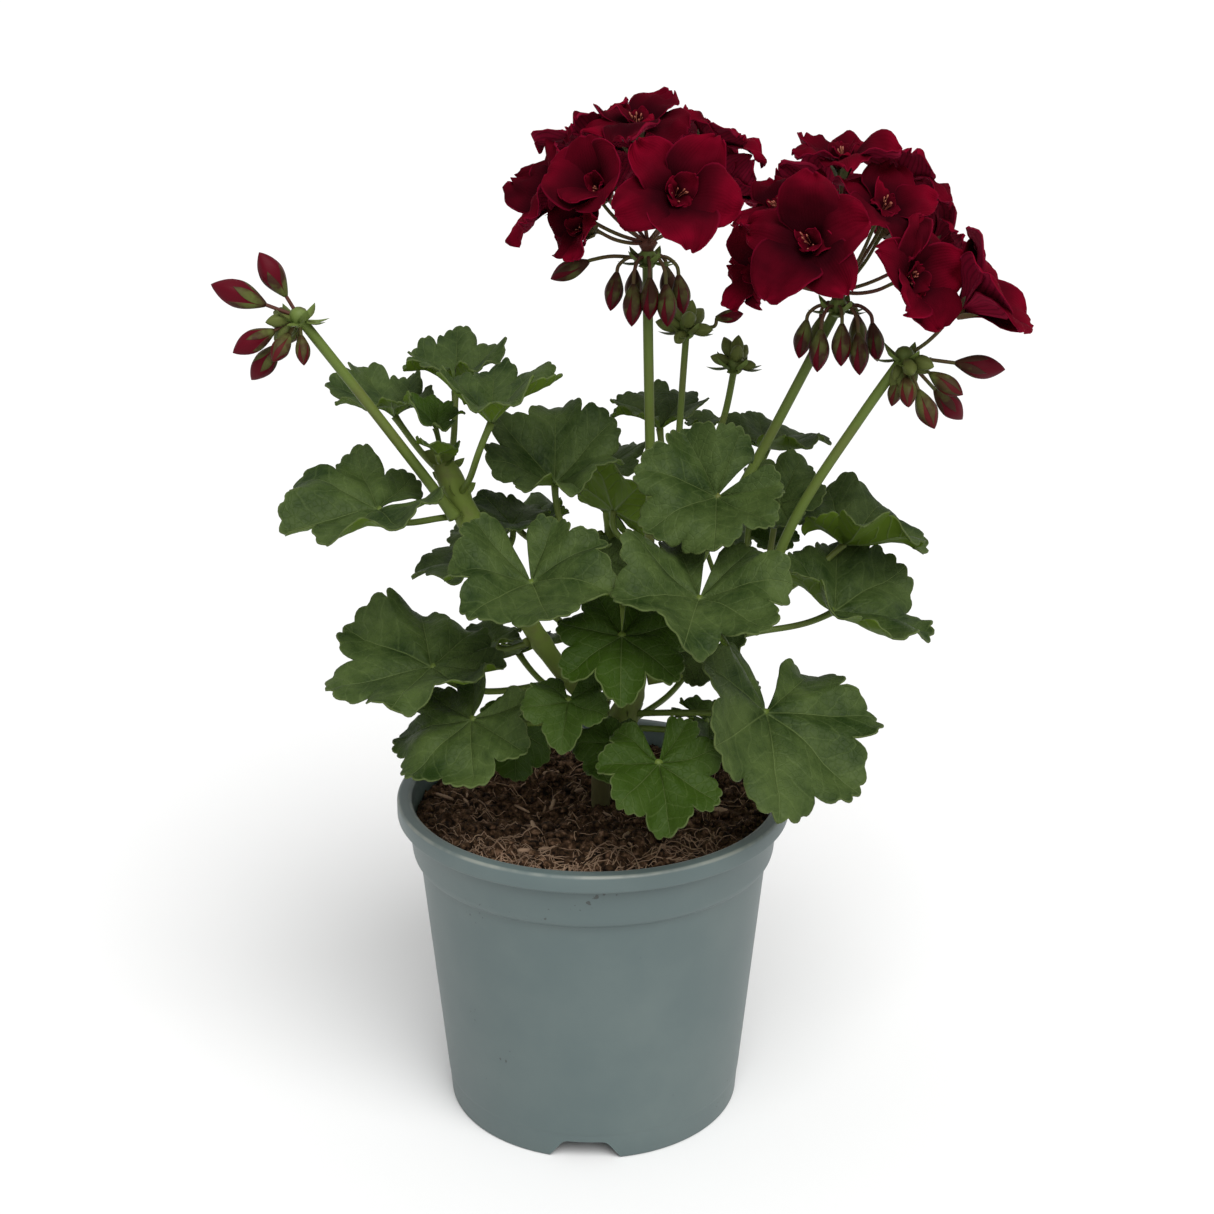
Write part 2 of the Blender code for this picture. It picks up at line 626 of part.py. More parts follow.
def petiole_points(leaf, stem):
    """The leaf's stalk leaves the stem outwards and meets the blade from below and behind."""
    along, _, up = leaf_frame(leaf)
    joint = Vector(leaf.at) * MM
    start = point_along(stem, leaf.start)
    span = joint - start
    reach = PETIOLE_REACH * span.length
    out = Vector((span.x, span.y, 0.0)).normalized()
    leave = (out * 0.8 + span.normalized() * 0.8 + Vector((0, 0, 0.25))).normalized()
    arrive = (up * 0.75 + along * 0.5).normalized()
    bends = (start, start + leave * reach, joint - arrive * reach, joint)
    points = []
    for i in range(PETIOLE_PIECES + 1):
        t = i / PETIOLE_PIECES
        points.append(bends[0] * (1 - t) ** 3 + bends[1] * 3 * t * (1 - t) ** 2
                      + bends[2] * 3 * t * t * (1 - t) + bends[3] * t ** 3)
    return points


def petiole(leaf, stem, where):
    points = petiole_points(leaf, stem)
    radius = PETIOLE_RADIUS * (1.0 if leaf.radius > SMALL_LEAF else SMALL_PETIOLE_SHARE)
    return tube("petiole_" + leaf.name, points, [radius] * len(points), where, 0)


def leafy_stem(name, path, radii, leaves, stubs, where, parent, look):
    """A stem with its leaves, fused; stubs are the short starts of what it carries."""
    repeats = collection(name + "_repeats")
    points = millimetres(path)
    trunk = tube(name + "_trunk", points, [radius * MM for radius in radii], repeats, 2)
    repeats.objects.unlink(trunk)
    where.objects.link(trunk)
    for leaf in leaves:
        blade(leaf, repeats)
        petiole(leaf, points, repeats)
    for end, way, radius in stubs:
        way = Vector(way).normalized()
        tip = Vector(end) * MM - way * GAP
        tube("stub", [tip - way * STUB_LENGTH, tip], [radius * MM] * 2, repeats, 1)
    finish(fuse(name, trunk, repeats, where), look, parent)


def head_frame(aim, rise):
    """A direction outwards, and two directions across it."""
    aim = math.radians(aim)
    rise = math.radians(rise)
    axis = Vector((math.cos(aim) * math.cos(rise), math.sin(aim) * math.cos(rise), math.sin(rise)))
    across = axis.cross(Vector((0, 0, 1))).normalized()
    return axis, across, axis.cross(across)


def petal_place(length, opening, ruffle, turn, share):
    """A point of a ring of petals: distance out from the flower's axis, and up the axis.

    share runs from 0 at the centre to 1 at the tips, and turn is the angle round the axis.
    """
    lean = math.radians(opening * (PETAL_LEAN[0] + PETAL_LEAN[1] * share))
    wave = PETAL_WAVE * share * share * math.sin(3 * turn + ruffle)
    return length * share * math.sin(lean), length * (share * math.cos(lean) + wave)


def petal_ring(petals, lobes, length, opening, frame, centre, spin, ruffle, where):
    """One layer of petals joined at their feet: a fan of faces, notched between the petals.

    lobes lists, round one petal, the points of its edge: how far round and how far out.
    """
    axis, across, other = frame
    shape = bmesh.new()

    def corner(turn, share):
        out, up = petal_place(length, opening, ruffle, turn, share)
        ray = across * math.cos(spin + turn) + other * math.sin(spin + turn)
        return shape.verts.new(centre + ray * out + axis * up)

    foot = shape.verts.new(centre)
    step = math.tau / petals
    notches = [corner(i * step, NOTCH_SHARE) for i in range(petals)]
    for i in range(petals):
        middle = corner((i + 0.5) * step, PETAL_MIDDLE_SHARE)
        edge = [corner((i + around) * step, share) for around, share in lobes]
        edge = [notches[i], *edge, notches[(i + 1) % petals]]
        shape.faces.new((foot, notches[i], middle))
        shape.faces.new((foot, middle, edge[-1]))
        for a, b in zip(edge, edge[1:]):
            shape.faces.new((middle, a, b))
    bmesh.ops.recalc_face_normals(shape, faces=shape.faces)
    thicken(add_object("petals", mesh_from_bmesh("petals", shape), where), PETAL_THICKNESS)


def floret(spec, root, centre, seed, where):
    """One flower on its pedicel: a calyx and a ring of petals, and in a large flower a ring of small ones."""
    frame = head_frame(spec.aim, spec.rise)
    axis = frame[0]
    draw = random.Random(seed)
    spin = draw.uniform(0, math.tau)
    ruffle = draw.uniform(0, math.tau)
    length = spec.petal * MM
    stalk = [root, centre - axis * CALYX_LENGTH, centre, centre + axis * (INNER_LIFT + 0.4 * MM)]
    radii = [PEDICEL_RADIUS, PEDICEL_RADIUS, CALYX_RADIUS, 0.6 * CALYX_RADIUS]
    tube("pedicel", stalk, radii, where, 0)
    petal_ring(PETALS, OUTER_LOBES, length, spec.opening, frame, centre, spin, ruffle, where)
    if spec.petal > DOUBLE_FROM:
        petal_ring(INNER_PETALS, INNER_LOBES, INNER_LENGTH * length, INNER_OPENING * spec.opening, frame,
                   centre + axis * INNER_LIFT, spin + math.pi / PETALS, ruffle, where)


def bud(foot, way, length, girth, sides, where):
    """A closed flower bud: a spindle, widest nearer its foot; girth is its radius per length."""
    way = way.normalized()
    tube("bud", [foot + way * length * share for share in BUD_SHARES],
         [length * girth * radius for radius in BUD_RADII], where, sides)


def ball(name, centre, radius, height, where):
    shape = bmesh.new()
    bmesh.ops.create_uvsphere(shape, u_segments=6, v_segments=4, radius=1.0)
    bmesh.ops.scale(shape, vec=(radius, radius, height), verts=shape.verts)
    bmesh.ops.translate(shape, vec=centre, verts=shape.verts)
    return add_object(name, mesh_from_bmesh(name, shape), where)


def stalk_trunk(name, path, radius, where):
    points = smooth_path(millimetres(path), 2)
    return tube(name + "_trunk", points, [radius] * len(points), where, 1)


def hanging_bud(hub, spec, where):
    """A closed bud on a pedicel that arches out of the hub."""
    out = head_frame(spec.aim, 0)[0]
    reach = out * spec.reach * MM
    drop = Vector((0, 0, -spec.drop * MM))
    arch = [hub, hub + reach * 0.6 + Vector((0, 0, 0.8 * MM)), hub + reach + drop * 0.35,
            hub + reach * 1.08 + drop]
    tube("pedicel", arch, [PEDICEL_RADIUS] * len(arch), where, 0)
    bud(arch[-1], head_frame(spec.aim, -spec.tilt)[0], spec.length * MM, HANGING_GIRTH, 0, where)


def head_stalk(name, path, buds, where, parent, look):
    """A peduncle with the knob that carries the flowers, and buds that hang round it."""
    repeats = collection(name + "_repeats")
    trunk = stalk_trunk(name, path, PEDUNCLE_RADIUS, where)
    hub = Vector(path[-1]) * MM
    ball("hub", hub, HUB_RADIUS, HUB_HEIGHT, repeats)
    for spec in buds:
        hanging_bud(hub, spec, repeats)
    finish(fuse(name, trunk, repeats, where), look, parent)


def head_florets(name, path, florets, where, parent, look):
    """The open flowers of one head, their pedicels joined in a small knob that sits on the hub."""
    repeats = collection(name + "_repeats")
    seat = Vector(path[-1]) * MM + Vector((0, 0, HUB_HEIGHT + GAP + FLORET_KNOB_HEIGHT))
    trunk = ball("knob", seat, FLORET_KNOB_RADIUS, FLORET_KNOB_HEIGHT, where)
    for i, spec in enumerate(florets):
        axis = head_frame(spec.aim, spec.rise)[0]
        floret(spec, seat, seat + axis * spec.reach * MM, f"{name}_{i}", repeats)
    finish(fuse(name, trunk, repeats, where), look, parent)


def bud_spray(name, path, buds, where, parent, look):
    """A peduncle that ends in a knob with buds on short pedicels."""
    repeats = collection(name + "_repeats")
    trunk = stalk_trunk(name, path, PEDUNCLE_RADIUS, where)
    hub = Vector(path[-1]) * MM
    ball("hub", hub, HUB_RADIUS, HUB_HEIGHT, repeats)
    for way, reach, length in buds:
        way = Vector(way).normalized()
        foot = hub + way * (HUB_RADIUS + reach * MM)
        tube("pedicel", [hub, foot + way * MM], [PEDICEL_RADIUS] * 2, repeats, 0)
        bud(foot, way, length * MM, SPRAY_GIRTH, 1, repeats)
    finish(fuse(name, trunk, repeats, where), look, parent)


def single_flower(name, path, spec, where, parent, look):
    repeats = collection(name + "_repeats")
    points = millimetres(path)
    trunk = tube("stalk", points, [PEDICEL_RADIUS * 1.2] * len(points), where, 0)
    axis = head_frame(spec.aim, spec.rise)[0]
    floret(spec, points[-1] - axis * 3 * MM, points[-1] + axis * 4 * MM, name, repeats)
    finish(fuse(name, trunk, repeats, where), look, parent)


def young_buds(name, path, bracts, side_buds, where, parent, look):
    """A young head still closed: plump pointed bracts all round a small core."""
    repeats = collection(name + "_repeats")
    trunk = stalk_trunk(name, path, YOUNG_STALK_RADIUS, where)
    top = Vector(path[-1]) * MM
    ball("core", top, YOUNG_CORE_RADIUS, YOUNG_CORE_RADIUS, repeats)
    for i, (length, rise) in enumerate(bracts):
        way = head_frame(math.degrees(i * YOUNG_TURN), rise)[0]
        bud(top + way * YOUNG_CORE_RADIUS / 2, way, length * MM, BRACT_GIRTH, 0, repeats)
    for spec in side_buds:
        hanging_bud(top, spec, repeats)
    finish(fuse(name, trunk, repeats, where), look, parent)


def main():
    for thing in list(bpy.data.objects):
        bpy.data.objects.remove(thing)
    where = collection("geranium")
    cutters = collection("cutters", hidden=True)
    parent = add_object("geranium_axis", None, where)
    parent.location = POT_AXIS

    pot(where, cutters, parent)
    soil(where, cutters, parent)

    green = material("leaf_green", LEAF_GREEN, 0.6)
    stalk_green = material("stalk_green", STALK_GREEN, 0.5)
    crimson = material("petal_crimson", CRIMSON, 0.7)

    stubs = [(path[0], Vector(path[1]) - Vector(path[0]), radius) for path, radius in (
        (SHOOT_LEFT, SHOOT_LEFT_RADII[0]), (SHOOT_CENTRE, SHOOT_CENTRE_RADII[0]),
        (SHOOT_RIGHT, SHOOT_RIGHT_RADII[0]), (SHOOT_BACK, SHOOT_BACK_RADII[0]),
        (PEDUNCLE_RIGHT, PEDUNCLE_RADIUS / MM))]
    leafy_stem("main_stem", MAIN_STEM, MAIN_STEM_RADII, LOW_LEAVES, stubs, where, parent, green)
    for name, path, radii, leaves, carried in (
            ("shoot_left", SHOOT_LEFT, SHOOT_LEFT_RADII, LEFT_LEAVES, [(SPRAY_LEFT_STALK, PEDUNCLE_RADIUS)]),
            ("shoot_centre", SHOOT_CENTRE, SHOOT_CENTRE_RADII, CENTRE_LEAVES,
             [(PEDUNCLE_LEFT, PEDUNCLE_RADIUS), (YOUNG_A_STALK, YOUNG_STALK_RADIUS),
              (YOUNG_B_STALK, YOUNG_STALK_RADIUS)]),
            ("shoot_right", SHOOT_RIGHT, SHOOT_RIGHT_RADII, RIGHT_LEAVES,
             [(SPRAY_RIGHT_STALK, PEDUNCLE_RADIUS)]),
            ("shoot_back", SHOOT_BACK, SHOOT_BACK_RADII, BACK_LEAVES, [])):
        stubs = [(stalk[0], Vector(stalk[1]) - Vector(stalk[0]), radius / MM) for stalk, radius in carried]
        leafy_stem(name, path, radii, leaves, stubs, where, parent, green)

    head_stalk("head_left_stalk", PEDUNCLE_LEFT, BUDS_HEAD_LEFT, where, parent, stalk_green)
    head_stalk("head_right_stalk", PEDUNCLE_RIGHT, BUDS_HEAD_RIGHT, where, parent, stalk_green)
    head_florets("head_left_florets", PEDUNCLE_LEFT, HEAD_LEFT, where, parent, crimson)
    head_florets("head_right_florets", PEDUNCLE_RIGHT, HEAD_RIGHT, where, parent, crimson)
    bud_spray("spray_left", SPRAY_LEFT_STALK, SPRAY_LEFT_BUDS, where, parent, stalk_green)
    bud_spray("spray_right", SPRAY_RIGHT_STALK, SPRAY_RIGHT_BUDS, where, parent, stalk_green)
    single_flower("single_flower", SINGLE_FLOWER_STALK, SINGLE_FLOWER, where, parent, crimson)
    young_buds("young_buds_a", YOUNG_A_STALK, YOUNG_A_BRACTS, [YOUNG_A_SIDE_BUD], where, parent, stalk_green)
    young_buds("young_buds_b", YOUNG_B_STALK, YOUNG_B_BRACTS, [], where, parent, stalk_green)


main()
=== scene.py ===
import collections
import math
import random

import bmesh
import bpy
from mathutils import Matrix, Vector, noise


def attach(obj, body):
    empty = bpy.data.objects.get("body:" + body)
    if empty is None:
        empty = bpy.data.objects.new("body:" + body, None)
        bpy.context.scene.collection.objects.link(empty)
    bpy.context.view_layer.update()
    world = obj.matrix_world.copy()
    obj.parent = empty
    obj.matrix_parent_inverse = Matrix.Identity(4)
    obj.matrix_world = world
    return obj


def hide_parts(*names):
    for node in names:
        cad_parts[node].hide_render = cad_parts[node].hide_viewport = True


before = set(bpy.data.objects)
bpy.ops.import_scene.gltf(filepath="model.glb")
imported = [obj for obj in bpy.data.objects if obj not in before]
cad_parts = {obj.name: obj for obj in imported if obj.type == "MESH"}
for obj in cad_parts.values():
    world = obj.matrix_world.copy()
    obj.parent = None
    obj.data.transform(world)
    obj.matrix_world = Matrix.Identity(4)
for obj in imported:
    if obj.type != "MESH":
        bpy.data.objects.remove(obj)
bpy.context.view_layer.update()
scene = bpy.context.scene

# The studio: a plain pale floor that runs out of sight, even light from a white sky and a broad
# soft sun, and the camera at the photograph's place, tilt and field of view.
MM = 0.001
POT_AXIS = Vector((-8.2, -3.4, 0.0)) * MM
FLOOR_REACH = 60
CAMERA_PLACE = Vector((4.6, -607.5, 381.9)) * MM + POT_AXIS
CAMERA_TILT = math.radians(90 - 18.9)
CAMERA_LENS = 59.07
SKY_STRENGTH = 0.62
SUN_STRENGTH = 2.9
SUN_WIDTH = math.radians(45)
SUN_TURN = (math.radians(36), math.radians(14), 0.0)
FLOOR_WHITES = ((0.80, 0.80, 0.795, 1), (0.83, 0.83, 0.83, 1))
FLOOR_DROP = 0.2 * MM
SENSOR_WIDTH = 36
SIGHT_LENGTH = 200


def add_node(tree, kind, output, inputs=(), **settings):
    """Adds a shader node and gives back its output of that name.

    inputs maps sockets to plain values or to the outputs that feed them.
    """
    made = tree.nodes.new("ShaderNode" + kind)
    for key, value in settings.items():
        setattr(made, key, value)
    for key, value in dict(inputs).items():
        if isinstance(value, bpy.types.NodeSocket):
            tree.links.new(value, made.inputs[key])
        else:
            made.inputs[key].default_value = value
    return made.outputs[output]


def mixed(tree, share, first, second):
    """The first colour where the share is 0, the second where it is 1."""
    return add_node(tree, "Mix", "Result", {"Factor": share, "A": first, "B": second}, data_type="RGBA")


def graded(tree, value, low, high, least=0.0, most=1.0, **settings):
    """The value brought from between low and high to between least and most, and held at the ends."""
    limits = {"Value": value, "From Min": low, "From Max": high, "To Min": least, "To Max": most}
    return add_node(tree, "MapRange", "Result", limits, **settings)


def new_material(name, **plain):
    """A material and its node tree; plain values are set on its shader by their sockets' names."""
    made = bpy.data.materials.new(name)
    made.use_nodes = True
    for key, value in plain.items():
        made.node_tree.nodes["Principled BSDF"].inputs[key.replace("_", " ")].default_value = value
    return made, made.node_tree


def finish_look(tree, colour, relief=None, strength=0.0, depth=0.0):
    """Gives a material its colour, and a relief of that depth in metres from a height."""
    shader = tree.nodes["Principled BSDF"]
    tree.links.new(colour, shader.inputs["Base Color"])
    if relief is not None:
        raised = {"Height": relief, "Strength": strength, "Distance": depth}
        tree.links.new(add_node(tree, "Bump", "Normal", raised), shader.inputs["Normal"])


paper, tree = new_material("floor_paper", Roughness=0.9)
grain = add_node(tree, "TexNoise", "Fac", {"Scale": 3.0, "Detail": 3.0})
finish_look(tree, mixed(tree, grain, *FLOOR_WHITES))
floor_mesh = bpy.data.meshes.new("floor")
floor_mesh.from_pydata([(-FLOOR_REACH, -FLOOR_REACH, 0), (FLOOR_REACH, -FLOOR_REACH, 0),
                        (FLOOR_REACH, FLOOR_REACH, 0), (-FLOOR_REACH, FLOOR_REACH, 0)], [], [(0, 1, 2, 3)])
floor_mesh.materials.append(paper)
floor = bpy.data.objects.new("floor", floor_mesh)
floor.location.z = -FLOOR_DROP
scene.collection.objects.link(floor)

sky = bpy.data.worlds.new("soft_sky")
sky.use_nodes = True
backdrop = sky.node_tree.nodes["Background"]
backdrop.inputs["Color"].default_value = (1.0, 1.0, 1.0, 1.0)
seen = add_node(sky.node_tree, "LightPath", "Is Camera Ray")
brightness = graded(sky.node_tree, seen, 0.0, 1.0, SKY_STRENGTH, 1.0)
sky.node_tree.links.new(brightness, backdrop.inputs["Strength"])
scene.world = sky
sun = bpy.data.objects.new("broad_sun", bpy.data.lights.new("broad_sun", "SUN"))
sun.data.energy = SUN_STRENGTH
sun.data.angle = SUN_WIDTH
sun.rotation_euler = SUN_TURN
scene.collection.objects.link(sun)

camera = bpy.data.objects.new("camera", bpy.data.cameras.new("camera"))
camera.data.lens = CAMERA_LENS
camera.data.sensor_width = SENSOR_WIDTH
camera.data.clip_end = SIGHT_LENGTH
camera.location = CAMERA_PLACE
camera.rotation_euler = (CAMERA_TILT, 0, 0)
scene.collection.objects.link(camera)
scene.camera = camera
scene.view_settings.view_transform = "Standard"

# The pot: one thin moulding of matt grey-teal plastic with a turned-over lip, a stepped collar
# for stacking, a faint line above the foot, three notches in the foot ring and six drain holes.
POT_HEIGHT = 110 * MM
RIM_RADIUS = 65 * MM
LIP_HEIGHT = 6 * MM
BAND_RADIUS = 61.6 * MM
BAND_FOOT_RADIUS = 60 * MM
BAND_FOOT_HEIGHT = 90.4 * MM
WALL_TOP_RADIUS = 57.8 * MM
WALL_TOP_HEIGHT = 88 * MM
WALL_FOOT_RADIUS = 50.1 * MM
FLOOR_HEIGHT = 9.6 * MM
FOOT_RADIUS = 49.3 * MM
WALL = 1.5 * MM
FOOT_WALL = 2.2 * MM
POT_STEPS = 192
CORNER_ROUNDING = 0.45 * MM
ON_AXIS = 0.01 * MM
NOTCHES = 3
NOTCH_FIRST_ANGLE = math.radians(-93)
NOTCH_BOTTOM_WIDTH = 23.5 * MM
NOTCH_TOP_WIDTH = 14 * MM
NOTCH_HEIGHT = 6.5 * MM
NOTCH_DEPTH = 12 * MM
NOTCH_ROUNDING = 1.6 * MM
SHARP_CORNER = math.radians(50)
DRAIN_HOLES = 6
DRAIN_HOLE_RADIUS = 4.5 * MM
DRAIN_RING_RADIUS = 34 * MM
POT_TEAL = (0.088, 0.121, 0.120, 1)
POT_TEAL_WORN = (0.105, 0.138, 0.134, 1)
POT_DIRT = (0.030, 0.030, 0.026, 1)
SPECKS_PER_METRE = 640
SPECK_AMOUNT = 0.7
LIP_WEAR_AND_HIGHLIGHT = (0.29, 0.30, 0.26, 1)
# heights below the top of the lip between which its outer corner is painted pale: mostly a painted
# highlight where the rounded corner catches light, partly rubbed wear
LIP_HIGHLIGHT_START = 1.1 * MM
LIP_HIGHLIGHT_FULL = 0.6 * MM
LIP_HIGHLIGHT_FADE = 0.18 * MM
LIP_HIGHLIGHT_END = 0.03 * MM


def rounded(profile, radius):
    """The profile with each inner corner replaced by a short arc of three points."""
    points = [Vector(point) for point in profile]
    path = [points[0]]
    for before, corner, after in zip(points, points[1:], points[2:]):
        back = before - corner
        on = after - corner
        reach = min(radius, 0.45 * back.length, 0.45 * on.length)
        start = corner + back.normalized() * reach
        end = corner + on.normalized() * reach
        path += [start, (start + end + 2 * corner) / 4, end]
    path.append(points[-1])
    return path


def turned(radius, turn, height):
    """The place at this radius and height, this far round the axis."""
    return radius * math.cos(turn), radius * math.sin(turn), height


def add_ring(shape, radius, height, steps):
    """A ring of vertices round the axis; on the axis itself it is one vertex, repeated."""
    if radius < ON_AXIS:
        return [shape.verts.new((0, 0, height))] * steps
    return [shape.verts.new(turned(radius, i * math.tau / steps, height)) for i in range(steps)]


def close_skin(shape, rings):
    """Faces from ring to ring, all looking outwards."""
    for ring, following in zip(rings, rings[1:]):
        for i in range(len(ring)):
            shape.faces.new(dict.fromkeys((ring[i], ring[i - 1], following[i - 1], following[i])))
    bmesh.ops.recalc_face_normals(shape, faces=shape.faces)


def lathe(profile, steps):
    """A turned skin: the profile's points, each a radius and a height, swept round the axis."""
    shape = bmesh.new()
    close_skin(shape, [add_ring(shape, radius, height, steps) for radius, height in profile])
    return shape


def add_piece(name, shape, *looks):
    """Puts a finished mesh on the pot's axis as one object with its materials."""
    mesh = bpy.data.meshes.new(name)
    shape.to_mesh(mesh)
    shape.free()
    mesh.transform(Matrix.Translation(POT_AXIS))
    for look in looks:
        mesh.materials.append(look)
    mesh.shade_smooth()
    made = bpy.data.objects.new(name, mesh)
    scene.collection.objects.link(made)
    return made


def settle(thing):
    """Applies the modifiers of a piece to its mesh."""
    bpy.context.view_layer.update()
    graph = bpy.context.evaluated_depsgraph_get()
    mesh = bpy.data.meshes.new_from_object(thing.evaluated_get(graph))
    thing.modifiers.clear()
    thing.data = mesh
    mesh.name = thing.name


def cut_away(thing, cutter):
    """Cuts the cutter's solid out of the thing and removes the cutter."""
    bite = thing.modifiers.new("bite", "BOOLEAN")
    bite.operation = "DIFFERENCE"
    bite.solver = "EXACT"
    bite.object = cutter
    settle(thing)
    bpy.data.objects.remove(cutter)


inner_wall = ((WALL_FOOT_RADIUS - FOOT_WALL, FLOOR_HEIGHT - 0.2 * MM),
              (WALL_TOP_RADIUS - WALL, WALL_TOP_HEIGHT + 0.5 * MM),
              (BAND_FOOT_RADIUS - WALL, BAND_FOOT_HEIGHT), (RIM_RADIUS - 4.9 * MM, POT_HEIGHT - 0.6 * MM),
              (RIM_RADIUS - 3.6 * MM, POT_HEIGHT))
pot_profile = (
    (0.0, FLOOR_HEIGHT), *inner_wall,
    (RIM_RADIUS - 0.8 * MM, POT_HEIGHT), (RIM_RADIUS, POT_HEIGHT - 0.8 * MM),
    (RIM_RADIUS, POT_HEIGHT - LIP_HEIGHT + 0.5 * MM), (RIM_RADIUS - 0.6 * MM, POT_HEIGHT - LIP_HEIGHT),
    (BAND_RADIUS, POT_HEIGHT - LIP_HEIGHT - 0.1 * MM),
    (BAND_FOOT_RADIUS + 0.3 * MM, BAND_FOOT_HEIGHT + 1.6 * MM),
    (BAND_FOOT_RADIUS - 0.2 * MM, BAND_FOOT_HEIGHT),
    (WALL_TOP_RADIUS + 0.3 * MM, WALL_TOP_HEIGHT + 1.2 * MM),
    (WALL_TOP_RADIUS, WALL_TOP_HEIGHT), (WALL_FOOT_RADIUS + 0.15 * MM, FLOOR_HEIGHT),
    (WALL_FOOT_RADIUS - 0.1 * MM, FLOOR_HEIGHT - 0.8 * MM),
    (FOOT_RADIUS, 0.0), (FOOT_RADIUS - FOOT_WALL, 0.0),
    (WALL_FOOT_RADIUS - FOOT_WALL - 0.2 * MM, FLOOR_HEIGHT - 2 * MM), (0.0, FLOOR_HEIGHT - WALL))


def clouded(tree, scale, detail, roughness=0.5):
    """Soft clouds from 0 to 1 all through the piece; the scale counts them along a metre."""
    place = add_node(tree, "TexCoord", "Object")
    return add_node(tree, "TexNoise", "Fac",
                    {"Vector": place, "Scale": scale, "Detail": detail, "Roughness": roughness})


def worked(tree, operation, first, second=0.0):
    """A sum, power or the like of one or two values."""
    return add_node(tree, "Math", "Value", {0: first, 1: second}, operation=operation)


def times(tree, first, second):
    """The product of two values."""
    return worked(tree, "MULTIPLY", first, second)


def height_in(tree):
    """The height of each place on the piece above the ground, in metres."""
    return add_node(tree, "SeparateXYZ", "Z", {"Vector": add_node(tree, "TexCoord", "Object")})


pot_plastic, tree = new_material("pot_plastic", Roughness=0.46, Specular_IOR_Level=0.4)
handled = graded(tree, clouded(tree, 28.0, 4.0, 0.6), 0.42, 0.72)
specks = times(tree, clouded(tree, SPECKS_PER_METRE, 2.0), clouded(tree, 40.0, 2.0))
dirt = times(tree, graded(tree, specks, 0.47, 0.50), SPECK_AMOUNT)
wear = mixed(tree, dirt, mixed(tree, handled, POT_TEAL, POT_TEAL_WORN), POT_DIRT)
# A pale blotched band round the lip's outer corner: a painted highlight where the rounded corner catches
# light, partly rubbed wear.
height = height_in(tree)
above = graded(tree, height, POT_HEIGHT - LIP_HIGHLIGHT_START, POT_HEIGHT - LIP_HIGHLIGHT_FULL)
below = graded(tree, height, POT_HEIGHT - LIP_HIGHLIGHT_FADE, POT_HEIGHT - LIP_HIGHLIGHT_END, 1.0, 0.0)
blotches = graded(tree, clouded(tree, 75.0, 5.0), 0.36, 0.58, 0.05, 0.6)
lip_wear_and_highlight = times(tree, times(tree, above, below), blotches)
fine = add_node(tree, "TexNoise", "Fac", {"Scale": 900.0, "Detail": 3.0})
finish_look(tree, mixed(tree, lip_wear_and_highlight, wear, LIP_WEAR_AND_HIGHLIGHT), fine, strength=0.12, depth=0.2 * MM)

pot = add_piece("pot_shell", lathe(rounded(pot_profile, CORNER_ROUNDING), POT_STEPS), pot_plastic)
for i in range(NOTCHES):
    shape = bmesh.new()
    bmesh.ops.create_cube(shape, size=1.0)
    for corner in shape.verts:
        above = corner.co.z > 0
        width = NOTCH_TOP_WIDTH if above else 2 * NOTCH_BOTTOM_WIDTH - NOTCH_TOP_WIDTH
        corner.co = (FOOT_RADIUS + corner.co.x * NOTCH_DEPTH, corner.co.y * width,
                     NOTCH_HEIGHT if above else -NOTCH_HEIGHT)
    sides = [edge for edge in shape.edges
             if abs(edge.verts[0].co.x - edge.verts[1].co.x) > NOTCH_DEPTH / 2]
    bmesh.ops.bevel(shape, geom=sides, offset=NOTCH_ROUNDING, segments=4, profile=0.5, affect="EDGES")
    shape.transform(Matrix.Rotation(NOTCH_FIRST_ANGLE + i * math.tau / NOTCHES, 4, "Z"))
    cut_away(pot, add_piece("notch_block", shape, pot_plastic))
for i in range(DRAIN_HOLES):
    angle = (i + 0.5) * math.tau / DRAIN_HOLES
    shape = bmesh.new()
    bmesh.ops.create_cone(shape, cap_ends=True, segments=40, radius1=DRAIN_HOLE_RADIUS,
                          radius2=DRAIN_HOLE_RADIUS, depth=4 * WALL)
    shape.transform(Matrix.Translation(turned(DRAIN_RING_RADIUS, angle, FLOOR_HEIGHT - WALL / 2)))
    cut_away(pot, add_piece("drain_drill", shape, pot_plastic))
pot.data.set_sharp_from_angle(angle=SHARP_CORNER)
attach(pot, "root")
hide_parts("pot")

# The peat: a dark brown crumbly filling with a mound at the front and a hollow left of the stem,
# covered in crumbs, with tan root fibres and a few bark chips lying in it.
SOIL_HEIGHT = 102 * MM
SOIL_CLEARANCE = 0.45 * MM
SOIL_RINGS = 90
SOIL_TURNS = 240
CRUMBS = 1700
CRUMB_SIZE = 2.1 * MM
FIBRES = 420
FIBRE_LENGTHS = (4 * MM, 17 * MM)
FIBRE_RADII = (0.08 * MM, 0.19 * MM)
FIBRE_LIFTS = (0.2 * MM, 1.8 * MM)
FIBRE_CLEARANCE = 0.3 * MM
FIBRE_BEND = 1.6
FIBRE_PIECES = 8
BARK_CHIPS = 40
CHIP_LENGTHS = (3 * MM, 8 * MM)
CHIP_RADII = (0.4 * MM, 0.9 * MM)
CHIP_SLOPE = 0.3
CHIP_CLEARANCE = 0.7 * MM
# inner edge for the peat's radius, and the two directions, of each mat of fibres
FIBRE_MATS = ((0.72, math.radians(-152), math.radians(-112)), (0.62, math.radians(-84), math.radians(-38)),
              (0.80, math.radians(-112), math.radians(-84)))
STEM_FOOT = Vector((2.5, 5.5)) * MM
STEM_CLEARANCE = 5 * MM
